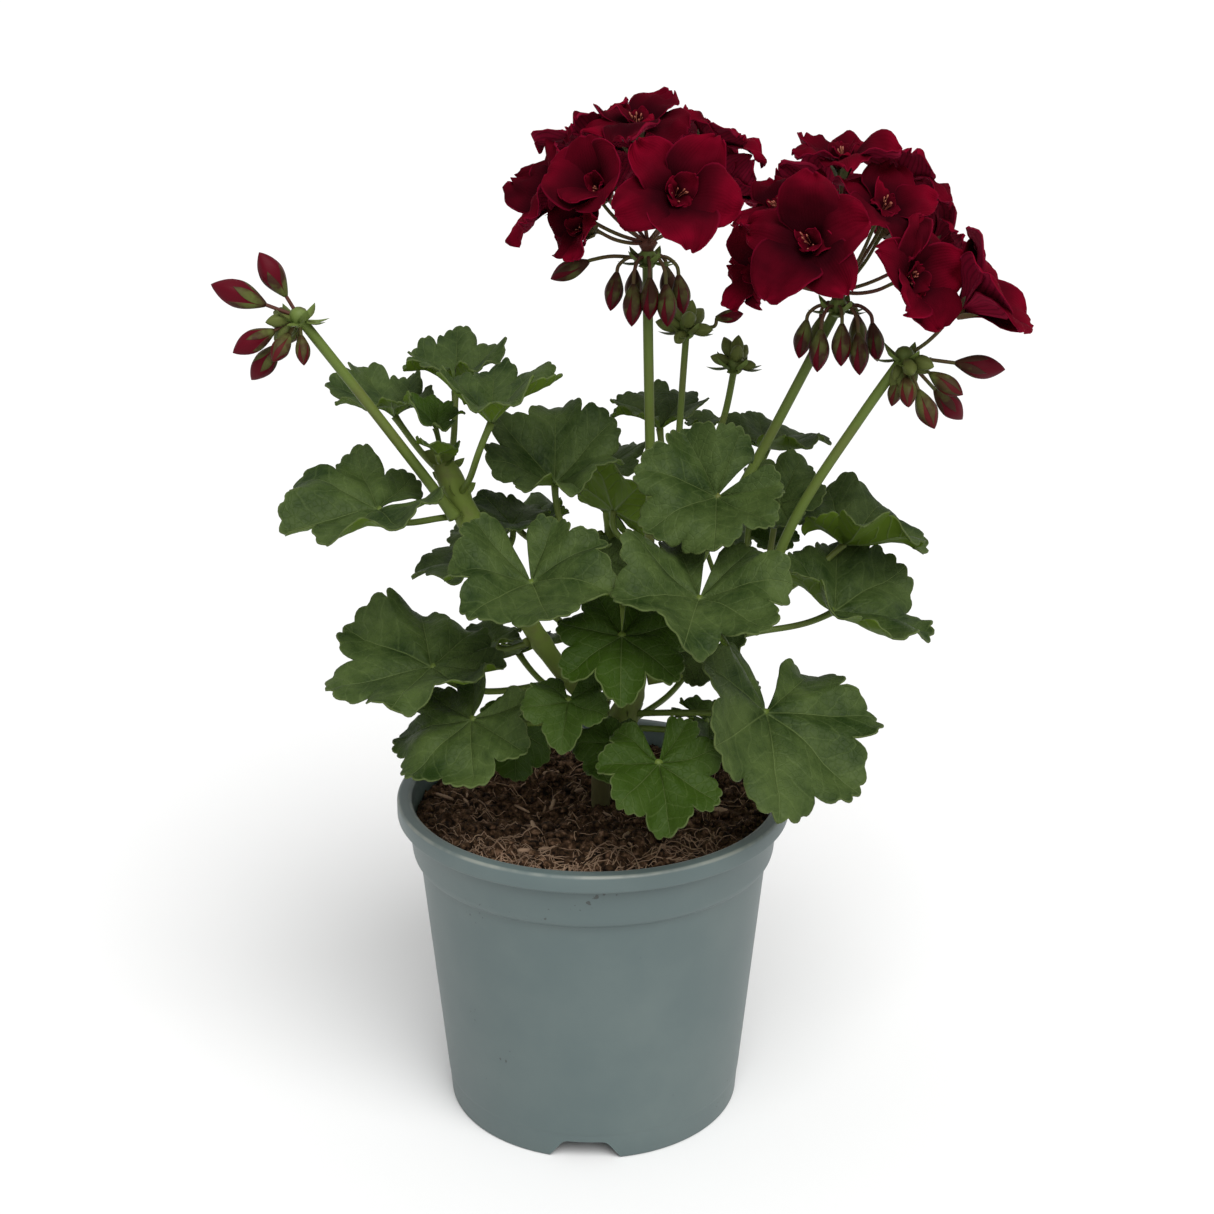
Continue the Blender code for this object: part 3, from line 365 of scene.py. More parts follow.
# height or depth, place and the square of the spread of the mound and the hollow, in millimetres
MOUND = (4.5, 5, -34, 420)
HOLLOW = (8.0, -22, 4, 260)
ROUGH_PER_METRE = 230
ROUGH_HEIGHT = 2.2
LOOSE_EDGE = 0.97
PEAT_DARK = (0.006, 0.003, 0.0015, 1)
PEAT_BROWN = (0.070, 0.037, 0.019, 1)
PEAT_TAN = (0.260, 0.155, 0.098, 1)
FIBRE_TAN = (0.58, 0.38, 0.25, 1)
draw = random.Random("peat")


def bell(x, y, height, middle_x, middle_y, spread):
    """Height at x, y in metres of a round swelling that is given in millimetres."""
    return height * math.exp(-((x / MM - middle_x) ** 2 + (y / MM - middle_y) ** 2) / spread)


def soil_height(x, y):
    """Height of the peat at a place, with its mound, its hollow, its clods and its fine crumb."""
    clods = (0.9 * math.sin(0.31 * x / MM + 1.0) * math.sin(0.27 * y / MM + 0.4)
             + 0.6 * math.sin(0.55 * x / MM - 0.4 * y / MM))
    edge = 1 - 0.6 * min(1.0, math.hypot(x, y) / soil_radius) ** 4
    rough = noise.fractal(Vector((x, y, 0)) * ROUGH_PER_METRE, 0.6, 2.1, 5) * ROUGH_HEIGHT
    return SOIL_HEIGHT + ((bell(x, y, *MOUND) - bell(x, y, *HOLLOW) + clods) * edge + rough) * MM


def on_peat(spot, lift):
    """The place this far above the peat's surface."""
    return Vector((spot.x, spot.y, soil_height(spot.x, spot.y) + lift))


soil_radius = RIM_RADIUS - 5.5 * MM - 1.5 * SOIL_CLEARANCE
shape = bmesh.new()
rings = [add_ring(shape, 0.0, soil_height(0, 0), SOIL_TURNS)]
for j in range(1, SOIL_RINGS + 1):
    rings.append([])
    for i in range(SOIL_TURNS):
        x, y, _ = turned(soil_radius * j / SOIL_RINGS, i * math.tau / SOIL_TURNS, 0.0)
        rings[-1].append(shape.verts.new((x, y, soil_height(x, y))))
foot, step, collar = inner_wall[:3]
for radius, height in (collar, step, (foot[0], foot[1] + 1 * MM), (0.0, FLOOR_HEIGHT + 0.3 * MM)):
    rings.append(add_ring(shape, radius - SOIL_CLEARANCE, height, SOIL_TURNS))
close_skin(shape, rings)

peat, tree = new_material("peat_soil", Roughness=0.95, Specular_IOR_Level=0.15)
browns = add_node(tree, "ValToRGB", "Color", {"Fac": clouded(tree, 420.0, 8.0, 0.7)})
ramp = browns.node.color_ramp.elements
ramp[0].position = 0.40
ramp[0].color = PEAT_DARK
ramp[1].position = 0.68
ramp[1].color = PEAT_TAN
ramp.new(0.53).color = PEAT_BROWN
finish_look(tree, browns, clouded(tree, 900.0, 4.0), strength=0.8, depth=0.6 * MM)
soil = add_piece("soil_bed", shape, peat)
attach(soil, "root")
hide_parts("soil")


def soil_spot(inner=0.0, first=0.0, last=math.tau):
    """A seeded place on the peat between two directions, clear of the wall and the stem's foot."""
    while True:
        radius = LOOSE_EDGE * soil_radius * math.sqrt(draw.uniform(inner ** 2, 1))
        angle = draw.uniform(first, last)
        spot = Vector(turned(radius, angle, 0.0)).xy
        if (spot - STEM_FOOT).length > STEM_CLEARANCE:
            return spot


ball = bmesh.new()
bmesh.ops.create_icosphere(ball, subdivisions=2, radius=1.0)
shape = bmesh.new()
for i in range(CRUMBS):
    spot = soil_spot()
    size = draw.uniform(0.45, 1.0) ** 3 * CRUMB_SIZE
    turn = Matrix.Rotation(draw.uniform(0, math.tau), 3, "Z")
    turn = turn @ Matrix.Rotation(draw.uniform(-0.5, 0.5), 3, "X")
    middle = on_peat(spot, 0.25 * size)
    stretch = Vector((draw.uniform(0.8, 1.4), 1.0, draw.uniform(0.45, 0.8))) * size
    corners = []
    for vertex in ball.verts:
        bulge = 1 + 0.35 * noise.noise(vertex.co * 1.3 + Vector((i, 0, 0)))
        corners.append(shape.verts.new(middle + turn @ (vertex.co * stretch) * bulge))
    for face in ball.faces:
        shape.faces.new([corners[vertex.index] for vertex in face.verts])
ball.free()
crumbs = add_piece("soil_crumbs", shape, peat)
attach(crumbs, "root")


def start_shape():
    """An empty mesh and its wrap map."""
    shape = bmesh.new()
    return shape, shape.loops.layers.uv.new("wrap")


def join_rows(shape, rows, heights, wrap, closed=False, over=False):
    """Faces from row to row, with a wrap map from 0 to 1 along a row and by the heights up the rows.

    Closed rows make a tube with both its ends shut, and over turns the faces over.
    """
    count = len(rows[0]) if closed else len(rows[0]) - 1
    for row, following, low, high in zip(rows, rows[1:], heights, heights[1:]):
        for k in range(count):
            near = ((row[k], k, low), (following[k], k, high))
            far = ((row[(k + 1) % len(row)], k + 1, low), (following[(k + 1) % len(row)], k + 1, high))
            if over:
                near, far = far, near
            corners = (near[0], far[0], far[1], near[1])
            face = shape.faces.new([corner for corner, _, _ in corners])
            for loop, (_, u, v) in zip(face.loops, corners):
                loop[wrap].uv = (u / count, v)
    if closed:
        shape.faces.new(reversed(rows[0]))
        shape.faces.new(rows[-1])


def round_way(across, other, turn):
    """The direction that is turned so far from one direction towards another."""
    return across * math.cos(turn) + other * math.sin(turn)


def sweep(shape, points, radii, sides, wrap):
    """A closed tube through the points. Its wrap map runs once round, and along in millimetres."""
    across = (points[1] - points[0]).orthogonal()
    rings = []
    walked = [0.0]
    for i, point in enumerate(points):
        before = points[max(i - 1, 0)]
        after = points[min(i + 1, len(points) - 1)]
        along = (after - before).normalized()
        across = (across - along * across.dot(along)).normalized()
        other = along.cross(across)
        rings.append([shape.verts.new(point + round_way(across, other, k * math.tau / sides) * radii[i])
                      for k in range(sides)])
        walked.append(walked[-1] + (after - point).length / MM)
    join_rows(shape, rings, walked, wrap, closed=True)


fibre_look, tree = new_material("root_fibre", Roughness=0.8)
finish_look(tree, mixed(tree, clouded(tree, 120.0, 3.0), PEAT_BROWN, FIBRE_TAN))
shape, wrap = start_shape()
for i in range(FIBRES):
    spot = soil_spot() if i % 2 else soil_spot(*FIBRE_MATS[i // 2 % len(FIBRE_MATS)])
    heading = draw.uniform(0, math.tau)
    bend = draw.uniform(-FIBRE_BEND, FIBRE_BEND)
    length = draw.uniform(*FIBRE_LENGTHS)
    lift = draw.uniform(*FIBRE_LIFTS)
    points = []
    for step in range(FIBRE_PIECES + 1):
        share = step / FIBRE_PIECES
        angle = heading + bend * share
        here = spot + Vector(turned(1.0, angle, 0.0)).xy * length * share
        if here.length > LOOSE_EDGE * soil_radius:
            break
        points.append(on_peat(here, lift * math.sin(math.pi * share) + FIBRE_CLEARANCE))
    if len(points) > 3:
        sweep(shape, points, [draw.uniform(*FIBRE_RADII)] * len(points), 4, wrap)
for i in range(BARK_CHIPS):
    spot = soil_spot()
    heading = draw.uniform(0, math.tau)
    length = draw.uniform(*CHIP_LENGTHS)
    way = Vector(turned(1.0, heading, draw.uniform(-CHIP_SLOPE, CHIP_SLOPE))).normalized()
    middle = on_peat(spot, CHIP_CLEARANCE)
    thick = draw.uniform(*CHIP_RADII)
    sweep(shape, [middle + way * length * share for share in (-0.5, -0.42, 0.1, 0.44, 0.5)],
          [thick * share for share in (0.5, 0.9, 1.1, 0.8, 0.4)], 5, wrap)
fibres = add_piece("soil_fibres", shape, fibre_look)
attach(fibres, "root")

# The stems: one woody stem that branches into four shoots, knobbly where leaves have been, with a
# small pair of stipules at each leaf's foot and a thin green stalk running out to each leaf.
STEM_SIDES = 14
STEM_PIECES = 8
KNOT_SWELL = 0.16
KNOT_LENGTH = 2.2 * MM
KNOT_LIMIT = 1.3
PETIOLE_RADIUS = 1.05 * MM
SMALL_PETIOLE_SHARE = 0.8
SMALL_LEAF = 15
PETIOLE_BEND = 0.42
PETIOLE_PIECES = 18
PETIOLE_SIDES = 9
STIPULE_LENGTH = 5 * MM
STIPULE_WIDTH = 3.5 * MM
# how far a stipule sits along its petiole and beside it, in millimetres
STIPULE_ALONG = 2.6
STIPULE_ASIDE = 0.8
BRACT_PIECES = 6
UP = Vector((0, 0, 1))
OLIVE_START = 112 * MM
OLIVE_FULL = 155 * MM
STEM_OLIVE = (0.115, 0.160, 0.026, 1)
STEM_BARK = (0.092, 0.086, 0.034, 1)
STALK_GREEN = (0.092, 0.132, 0.022, 1)
STALK_BLUSH = (0.105, 0.070, 0.028, 1)

# name, petiole joint, blade radius, way the tip points, dip of the tip, roll, cup and fold in
# degrees, lobes round the margin, and where along its stem the petiole starts
Leaf = collections.namedtuple("Leaf", "name at radius aim dip roll cup fold lobes start")
Stem = collections.namedtuple("Stem", "name path radii leaves")
STEMS = (
    Stem("main_stem", ((2.5, 6, 90), (2.5, 5.5, 104), (3, 2, 119), (7, -3, 131), (11, -6, 141),
                       (13, -4, 150), (14, -1, 160)),
         (3.2, 3.2, 3.1, 3.4, 4.4, 3.6, 3.2), (
        Leaf("left_high_front", (-18, -42, 196), 33, -75, 19, 12, 24, 0, 7, 0.95),
        Leaf("right_high_front", (32, -48, 193), 34, -103, 17, -12, 24, 0, 7, 0.97),
        Leaf("left_middle", (-50, -28, 164), 34, -158, 4, -9, 3, 12, 7, 0.88),
        Leaf("left_low", (-37, -42, 152), 28, -140, 32, -10, 4, 0, 7, 0.66),
        Leaf("front_middle", (9, -50, 182), 24, -92, 30, 0, 3, 0, 7, 0.86),
        Leaf("front_small", (-7, -55, 163), 16, -100, 32, 0, 0, 12, 5, 0.80),
        Leaf("low_hanging", (-24, -14, 137), 17, -110, 72, 0, 0, 25, 5, 0.55),
        Leaf("low_front", (20, -62, 146), 23, -78, 36, 0, -2, 12, 7, 0.50),
        Leaf("right_low_large", (54, -34, 151), 40, -85, 30, -30, 0, 18, 7, 0.70),
        Leaf("right_low_back", (38, -2, 135), 20, -20, 20, 0, 4, 0, 5, 0.60),
        Leaf("low_centre", (6, -24, 137), 14, -115, 35, 0, 0, 0, 5, 0.64),
        Leaf("low_back_left", (-26, 34, 146), 28, 130, 18, 0, 8, 0, 7, 0.62),
        Leaf("low_back_right", (34, 36, 141), 27, 55, 20, 0, 8, 0, 7, 0.56))),
    Stem("shoot_left", ((4.5, -3, 140), (-4.3, 0, 145), (-15.5, 0, 159.8), (-26.6, 0, 179.7),
                        (-36.6, -3, 199), (-44.8, -5, 218.9), (-47.5, -6, 226)),
         (2.8, 3.0, 3.1, 3.3, 3.8, 3.4, 1.8), (
        Leaf("top", (-43, 6, 243.5), 25, 90, -4, 0, 44, 0, 7, 0.93),
        Leaf("top_left", (-63, 12, 234), 25, 175, 0, 0, 33, 0, 7, 0.90),
        Leaf("top_right", (-30, -26, 241), 28, 40, 0, 0, 42, 0, 7, 0.86),
        Leaf("young", (-48, -12, 236), 14, 160, -15, 0, 38, 0, 5, 0.96),
        Leaf("tip", (-47, -18, 229.5), 9, -120, -25, 0, 25, 0, 5, 0.99),
        Leaf("outer", (-66, -18, 212), 31, -158, 2, -9, 3, 12, 7, 0.78),
        Leaf("inner_dark", (-26, 8, 199), 17, 140, -15, 0, 20, 0, 5, 0.60),
        Leaf("under_left", (-40, 5, 189), 20, 178, 18, 0, 6, 0, 5, 0.50),
        Leaf("under_low", (-33, 8, 159), 16, 180, 5, 0, 15, 0, 5, 0.30))),
    Stem("shoot_centre", ((14, -1, 160.5), (15, 2, 167), (21, 9, 173), (25, 15, 187), (28, 19, 203)),
         (3.0, 2.9, 2.7, 2.4, 1.8), (
        Leaf("left_upright", (-12, 5, 214), 31, 90, -25, 0, 35, 0, 7, 0.30),
        Leaf("behind_stalk", (22, 34, 224.5), 23, 100, 0, 0, 36, 0, 7, 0.90),
        Leaf("veined_back", (7, 21, 200), 22, -135, -62, 0, 10, 0, 7, 0.60),
        Leaf("front_upright", (38, -22, 217), 30, -150, 20, -38, 26, 0, 7, 0.45),
        Leaf("young_bright", (33, 10, 201), 10, 150, -30, 0, 15, 0, 5, 0.75),
        Leaf("dark_inner", (5, 21, 183), 14, -100, 50, 0, 5, 0, 5, 0.40))),
    Stem("shoot_right", ((17.5, -3, 151), (28, -2, 153), (41.4, 0, 158), (53, -1, 175)),
         (2.8, 2.7, 2.5, 2.2), (
        Leaf("twisted", (60, 9, 206), 18, 50, -38, 20, 26, 0, 5, 0.85),
        Leaf("top_back", (58, 35, 218), 23, 50, 4, 0, 16, 0, 7, 0.75),
        Leaf("outer_high", (82, 14, 191), 29, 8, 12, 0, 18, 14, 7, 0.95),
        Leaf("outer_low", (78, -1, 173), 33, -4, 20, 12, 14, 18, 7, 0.70),
        Leaf("bright_inner", (60, 21, 189.5), 10, 90, -20, 0, 10, 0, 5, 0.80),
        Leaf("small_low", (39, -10, 163), 15, -130, 35, 0, 5, 0, 5, 0.50),
        Leaf("back_small", (38, 60, 219), 10, 60, 0, 0, 20, 0, 5, 0.70))),
    Stem("shoot_back", ((12.5, 5, 155), (11.5, 12, 160), (9, 26, 172), (6, 38, 188), (5, 42, 196)),
         (2.6, 2.6, 2.4, 2.2, 1.6), (
        Leaf("back_top", (2, 50, 206), 22, 110, -10, 0, 26, 0, 7, 0.95),
        Leaf("back_left", (-26, 48, 186), 27, 150, 12, 0, 14, 0, 7, 0.80),
        Leaf("back_right", (37, 61, 180), 28, 50, 14, 0, 14, 0, 7, 0.72),
        Leaf("back_middle", (0, 58, 170), 27, 95, 26, 0, 8, 0, 7, 0.60),
        Leaf("back_low", (20, 46, 158), 22, 75, 30, 0, 6, 0, 7, 0.45))))


def smooth_path(points, pieces):
    """Points of a smooth curve through the given ones, with so many pieces between neighbours."""
    path = []
    last = len(points) - 1
    for i in range(last):
        before = points[max(i - 1, 0)]
        start = points[i]
        end = points[i + 1]
        after = points[min(i + 2, last)]
        for step in range(pieces):
            t = step / pieces
            path.append(0.5 * (2 * start + (end - before) * t
                               + (2 * before - 5 * start + 4 * end - after) * t * t
                               + (3 * start - before - 3 * end + after) * t ** 3))
    path.append(points[last])
    return path


def point_along(points, share):
    """The place at this share of the line's length."""
    lengths = [(b - a).length for a, b in zip(points, points[1:])]
    left = share * sum(lengths)
    for a, b, length in zip(points, points[1:], lengths):
        if left <= length:
            return a.lerp(b, left / length)
        left -= length
    return points[-1]


def direction(aim, rise):
    """The way that points to this side and rises this much, both in degrees."""
    rise = math.radians(rise)
    return Vector(turned(math.cos(rise), math.radians(aim), math.sin(rise)))


def leaf_frame(leaf):
    """Directions of a blade: along its middle, to its side, and out of its upper face."""
    along = direction(leaf.aim, -leaf.dip)
    aim = math.radians(leaf.aim)
    side = Matrix.Rotation(math.radians(leaf.roll), 3, along) @ Vector((-math.sin(aim), math.cos(aim), 0.0))
    return along, side, along.cross(side)


def petiole_points(leaf, stem):
    """The leaf's stalk leaves the stem outwards and meets the blade from below and behind."""
    along, _, up = leaf_frame(leaf)
    joint = Vector(leaf.at) * MM
    start = point_along(stem, leaf.start)
    span = joint - start
    reach = PETIOLE_BEND * span.length
    out = Vector((span.x, span.y, 0.0)).normalized()
    leave = (out * 0.8 + span.normalized() * 0.8 + UP * 0.25).normalized()
    arrive = (up * 0.75 + along * 0.5).normalized()
    bends = (start, start + leave * reach, joint - arrive * reach, joint)
    points = []
    for i in range(PETIOLE_PIECES + 1):
        t = i / PETIOLE_PIECES
        points.append(bends[0] * (1 - t) ** 3 + bends[1] * 3 * t * (1 - t) ** 2
                      + bends[2] * 3 * t * t * (1 - t) + bends[3] * t ** 3)
    return points


def bract(shape, foot, way, face, length, width, wrap):
    """A small pointed leaflet, hollowed a little along its middle; face is the way it looks."""
    way = way.normalized()
    across = way.cross(face).normalized()
    out = across.cross(way)
    rows = []
    for i in range(BRACT_PIECES + 1):
        share = i / BRACT_PIECES
        half = width / 2 * math.sin(math.pi * (0.12 + 0.88 * share) ** 0.8) ** 0.9 + 0.02 * width
        middle = foot + way * length * share - out * length * 0.12 * math.sin(math.pi * share)
        rows.append([shape.verts.new(middle + across * half * t + out * half * 0.35 * abs(t))
                     for t in (-1, 0, 1)])
    join_rows(shape, rows, range(BRACT_PIECES + 1), wrap)


stem_look, tree = new_material("stem_bark", Roughness=0.62, Specular_IOR_Level=0.2)
blotch = clouded(tree, 220.0, 4.0)
olive = times(tree, graded(tree, height_in(tree), OLIVE_START, OLIVE_FULL), blotch)
bark = mixed(tree, graded(tree, olive, 0.05, 0.5), STEM_BARK, STEM_OLIVE)
finish_look(tree, bark, blotch, strength=0.5, depth=0.5 * MM)

stalk_look, tree = new_material("stalk_skin", Roughness=0.5, Specular_IOR_Level=0.22)
blush = graded(tree, clouded(tree, 45.0, 3.0), 0.52, 0.8, 0.0, 0.5)
finish_look(tree, mixed(tree, blush, STALK_GREEN, STALK_BLUSH), clouded(tree, 1500.0, 2.0),
            strength=0.3, depth=0.2 * MM)

for stem in STEMS:
    line = [Vector(point) * MM for point in stem.path]
    knots = smooth_path([Vector((*point, radius * MM)) for point, radius in zip(line, stem.radii)],
                        STEM_PIECES)
    radii = []
    for knot in knots:
        here = knot.xyz
        swell = sum(math.exp(-((point_along(line, leaf.start) - here).length / KNOT_LENGTH) ** 2)
                    for leaf in stem.leaves)
        radii.append(knot.w * (1 + KNOT_SWELL * min(swell, KNOT_LIMIT)))
    shape, wrap = start_shape()
    sweep(shape, [knot.xyz for knot in knots], radii, STEM_SIDES, wrap)
    wood = add_piece(stem.name + "_wood", shape, stem_look)
    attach(wood, "root")
    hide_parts(stem.name)

    shape, wrap = start_shape()
    for leaf in stem.leaves:
        points = petiole_points(leaf, line)
        girth = PETIOLE_RADIUS * (1.0 if leaf.radius > SMALL_LEAF else SMALL_PETIOLE_SHARE)
        radii = []
        for i in range(len(points)):
            share = i / PETIOLE_PIECES
            radii.append(girth * (1.0 + 0.55 * math.exp(-share * 22) + 0.25 * math.exp(-(1 - share) * 20)))
        sweep(shape, points, radii, PETIOLE_SIDES, wrap)
        way = (points[1] - points[0]).normalized()
        for hand in (-1, 1):
            aside = way.cross(UP).normalized() * hand
            foot = points[0] + way * STIPULE_ALONG * MM + aside * STIPULE_ASIDE * MM
            bract(shape, foot, aside + way * 0.5 + UP * 0.5, way, STIPULE_LENGTH, STIPULE_WIDTH, wrap)
    stalks = add_piece(stem.name + "_petioles", shape, stalk_look)
    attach(stalks, "root")
    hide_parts(stem.name)

# The leaves: round scalloped blades on a palm of veins, softly pleated from vein to vein, with
# dull grey-green upper faces, yellower undersides, and a thin pale line round the margin.
NOTCH_HALF_ANGLES = (-4, 15)
OPEN_LEAVES = ("low_front", "left_low", "outer", "right_low_large", "front_small")
OPEN_NOTCH = 20
NOTCH_LAP = 0.05
LOBE_CUTS = (0.12, 0.26)
LOBE_ROUNDNESS = 2.4
TOOTH_CUT = 0.055
SCALLOPS = 5
BLADE_HALF_LENGTH = 0.84
BLADE_FORWARD = 0.16
WAVE_HEIGHTS = (0.07, 0.05)
PLEAT_DEPTH = 0.035
TIP_DROOP = 0.10
FOLD_HEIGHT = 0.26
RUFFLES = 9
RUFFLE_HEIGHT = 0.055
QUILT_HEIGHT = 0.022
LEAF_THICKNESS = 0.5 * MM
MARGIN_STEPS = 28
BLADE_RINGS = 12
RIM_START = 0.975
VEIN_GROOVE = 0.018
GROOVE_WIDTH = 0.035
SIDE_VEINS = 5.5
VEINS_PER_METRE = 520
FRESH_LEAVES = ("front_middle", "front_small", "low_centre", "low_front", "low_hanging", "young", "tip",
                "young_bright", "bright_inner", "right_low_back")
FRESHNESS = (0.55, 0.9)
LEAF_DULL = (0.054, 0.082, 0.020, 1)
LEAF_DARK = (0.013, 0.028, 0.004, 1)
# the saturated green of fresh leaves, darkened with painted shade
LEAF_FRESH_AND_SHADE = (0.022, 0.048, 0.002, 1)
LEAF_VEIN = (0.105, 0.145, 0.045, 1)
LEAF_UNDER = (0.082, 0.136, 0.011, 1)
LEAF_RIM = (0.085, 0.112, 0.034, 1)


def leaf_waves(leaf):
    """The seeded unevenness of one blade: two waves and their height, its notch, folds and lobes."""
    chance = random.Random(leaf.name)
    waves = chance.uniform(0, math.tau), chance.uniform(0, math.tau), chance.uniform(0.6, 1.0)
    notch = chance.uniform(*NOTCH_HALF_ANGLES)
    notch = math.radians(max(notch, OPEN_NOTCH) if leaf.name in OPEN_LEAVES else notch)
    folds = Vector((chance.uniform(0, 50), chance.uniform(0, 50), 0))
    cuts = [chance.uniform(*LOBE_CUTS) for _ in range(leaf.lobes + 1)]
    return waves, notch, folds, cuts


def blade_place(leaf, unevenness, turn, reach):
    """A point of the blade in its own directions.

    turn runs from -1 to 1 round the margin, from one side of the notch at the petiole to the
    other, and reach from 0 at the petiole to 1 at the margin.
    """
    waves, notch, folds, cuts = unevenness
    size = leaf.radius * MM
    theta = turn * (math.pi - notch)
    lobe = (turn + 1) / 2 * leaf.lobes
    index = min(int(lobe), leaf.lobes - 1)
    across = 2 * (lobe - index) - 1
    cut = cuts[index + 1] if across > 0 else cuts[index]
    lobes = cut * abs(across) ** LOBE_ROUNDNESS * reach ** 2
    teeth = TOOTH_CUT * (1 - abs(math.cos(SCALLOPS / 2 * math.pi * across)) ** 0.7) * reach ** 6
    half_length = BLADE_HALF_LENGTH + BLADE_FORWARD * math.cos(theta)
    distance = size * reach * half_length * (1 - lobes - teeth)
    lift = math.radians(leaf.cup) * (1.15 - 0.3 * reach)
    flat = distance * math.cos(lift)
    u = flat * math.cos(theta)
    v = flat * math.sin(theta)
    w = distance * math.sin(lift) + abs(v) * math.tan(math.radians(leaf.fold))
    w += size * reach * reach * waves[2] * (WAVE_HEIGHTS[0] * math.sin(2 * theta + waves[0])
                                            + WAVE_HEIGHTS[1] * math.sin(5 * theta + waves[1]))
    w -= PLEAT_DEPTH * size * reach * math.cos(math.pi * across)
    w -= TIP_DROOP * u * abs(u) / size
    w += NOTCH_LAP * size * reach * turn ** 11
    spot = Vector((u, v, 0)) / size
    w += FOLD_HEIGHT * size * reach * noise.noise(spot * 1.7 + folds)
    w += RUFFLE_HEIGHT * size * reach ** 5 * math.sin(RUFFLES * theta + waves[1])
    w += QUILT_HEIGHT * size * reach * noise.noise(spot * 9 + folds)
    beside = reach * abs(across) * math.pi / leaf.lobes
    w -= VEIN_GROOVE * size * math.exp(-(beside / GROOVE_WIDTH) ** 2) * (1 - 0.6 * reach)
    return u, v, w


def add_blade(shape, leaf, veins, reaches, tones, age):
    """One blade as a fan of rings round the petiole joint; veins maps it lobe by lobe."""
    along, side, up = leaf_frame(leaf)
    unevenness = leaf_waves(leaf)
    joint = Vector(leaf.at) * MM
    count = leaf.lobes * MARGIN_STEPS
    shares = [((j + 1) / BLADE_RINGS) ** 0.9 for j in range(BLADE_RINGS)]
    shares.insert(-1, RIM_START)
    rows = []
    for reach in [0.0, *shares]:
        row = []
        for i in range(count + 1 if reach else 1):
            u, v, w = blade_place(leaf, unevenness, -1 + 2 * i / count, reach)
            corner = shape.verts.new(joint + along * u + side * v + up * w)
            corner[reaches] = reach
            corner[tones] = age
            row.append(corner)
        rows.append(row if reach else row * (count + 1))
    for j, (row, following) in enumerate(zip(rows, rows[1:])):
        low = shares[j - 1] if j else 0.0
        for i in range(count):
            middle = ((i // MARGIN_STEPS) + 0.5) * MARGIN_STEPS
            corners = ((row[i], i, low), (following[i], i, shares[j]),
                       (following[i + 1], i + 1, shares[j]), (row[i + 1], i + 1, low))
            if not j:
                corners = corners[:3]
            face = shape.faces.new([corner for corner, _, _ in corners])
            for loop, (_, step, reach) in zip(face.loops, corners):
                off = (step - middle) / count * math.tau
                loop[veins].uv = (reach * math.cos(off), reach * math.sin(off))


def painted(tree, name):
    """The value that a piece's vertices carry under this name."""
    return add_node(tree, "Attribute", "Fac", attribute_name=name)


def map_axis(tree, name, axis):
    """One of the two measures, X or Y, of a piece's map of this name."""
    return add_node(tree, "SeparateXYZ", axis, {"Vector": add_node(tree, "UVMap", "UV", uv_map=name)})


leaf_veins = bpy.data.node_groups.new("leaf_veins", "ShaderNodeTree")
tree = leaf_veins
for way, sockets in (("INPUT", ("Main Width", "Side Width", "Side Share")), ("OUTPUT", ("Veins", "Net"))):
    for socket in sockets:
        tree.interface.new_socket(socket, in_out=way, socket_type="NodeSocketFloat")
given = tree.nodes.new("NodeGroupInput").outputs
result = tree.nodes.new("NodeGroupOutput").inputs
outwards = map_axis(tree, "veins", "X")
aside = worked(tree, "ABSOLUTE", map_axis(tree, "veins", "Y"))
width = times(tree, graded(tree, outwards, 0.0, 1.0, 1.3, 0.35), given["Main Width"])
main = graded(tree, aside, 0.0, width, 1.0, 0.0, interpolation_type="SMOOTHSTEP")
chevron = worked(tree, "SUBTRACT", outwards, times(tree, aside, 0.85))
swayed = worked(tree, "ADD", chevron, graded(tree, clouded(tree, 130.0, 2.0), 0.0, 1.0, -0.09, 0.09))
off_line = worked(tree, "PINGPONG", times(tree, swayed, SIDE_VEINS), 0.5)
side = graded(tree, off_line, 0.0, given["Side Width"], given["Side Share"], 0.0,
              interpolation_type="SMOOTHSTEP")
tree.links.new(worked(tree, "MAXIMUM", main, side), result["Veins"])
place = add_node(tree, "TexCoord", "Object")
cells = add_node(tree, "TexVoronoi", "Distance", {"Vector": place, "Scale": VEINS_PER_METRE},
                 feature="DISTANCE_TO_EDGE")
tree.links.new(graded(tree, cells, 0.0, 0.12, 1.0, 0.0), result["Net"])

leaf_upper, tree = new_material("leaf_upper", Roughness=0.55, Specular_IOR_Level=0.11)
palm = add_node(tree, "Group", "Veins", {"Main Width": 0.018, "Side Width": 0.10, "Side Share": 0.3},
                node_tree=leaf_veins)
tone = painted(tree, "tone")
reach = painted(tree, "reach")
cloud = graded(tree, clouded(tree, 62.0, 8.0, 0.68), 0.34, 0.62)
# Fresh leaves take a darker saturated green: partly their own colour, partly painted shade.
aged = mixed(tree, tone, mixed(tree, cloud, LEAF_DARK, LEAF_DULL), LEAF_FRESH_AND_SHADE)
veined = mixed(tree, times(tree, palm, 0.6), aged, LEAF_VEIN)
rimmed = mixed(tree, graded(tree, reach, 0.978, 1.0, 0.0, 0.7), veined, LEAF_RIM)
netted = times(tree, palm.node.outputs["Net"], -0.35)
finish_look(tree, rimmed, worked(tree, "SUBTRACT", netted, palm), strength=0.7,
            depth=0.35 * MM)

leaf_under, tree = new_material("leaf_under", Roughness=0.65, Specular_IOR_Level=0.12)
palm = add_node(tree, "Group", "Veins", {"Main Width": 0.03, "Side Width": 0.11, "Side Share": 0.6},
                node_tree=leaf_veins)
finish_look(tree, mixed(tree, palm, LEAF_UNDER, LEAF_VEIN), palm, strength=0.6, depth=0.35 * MM)


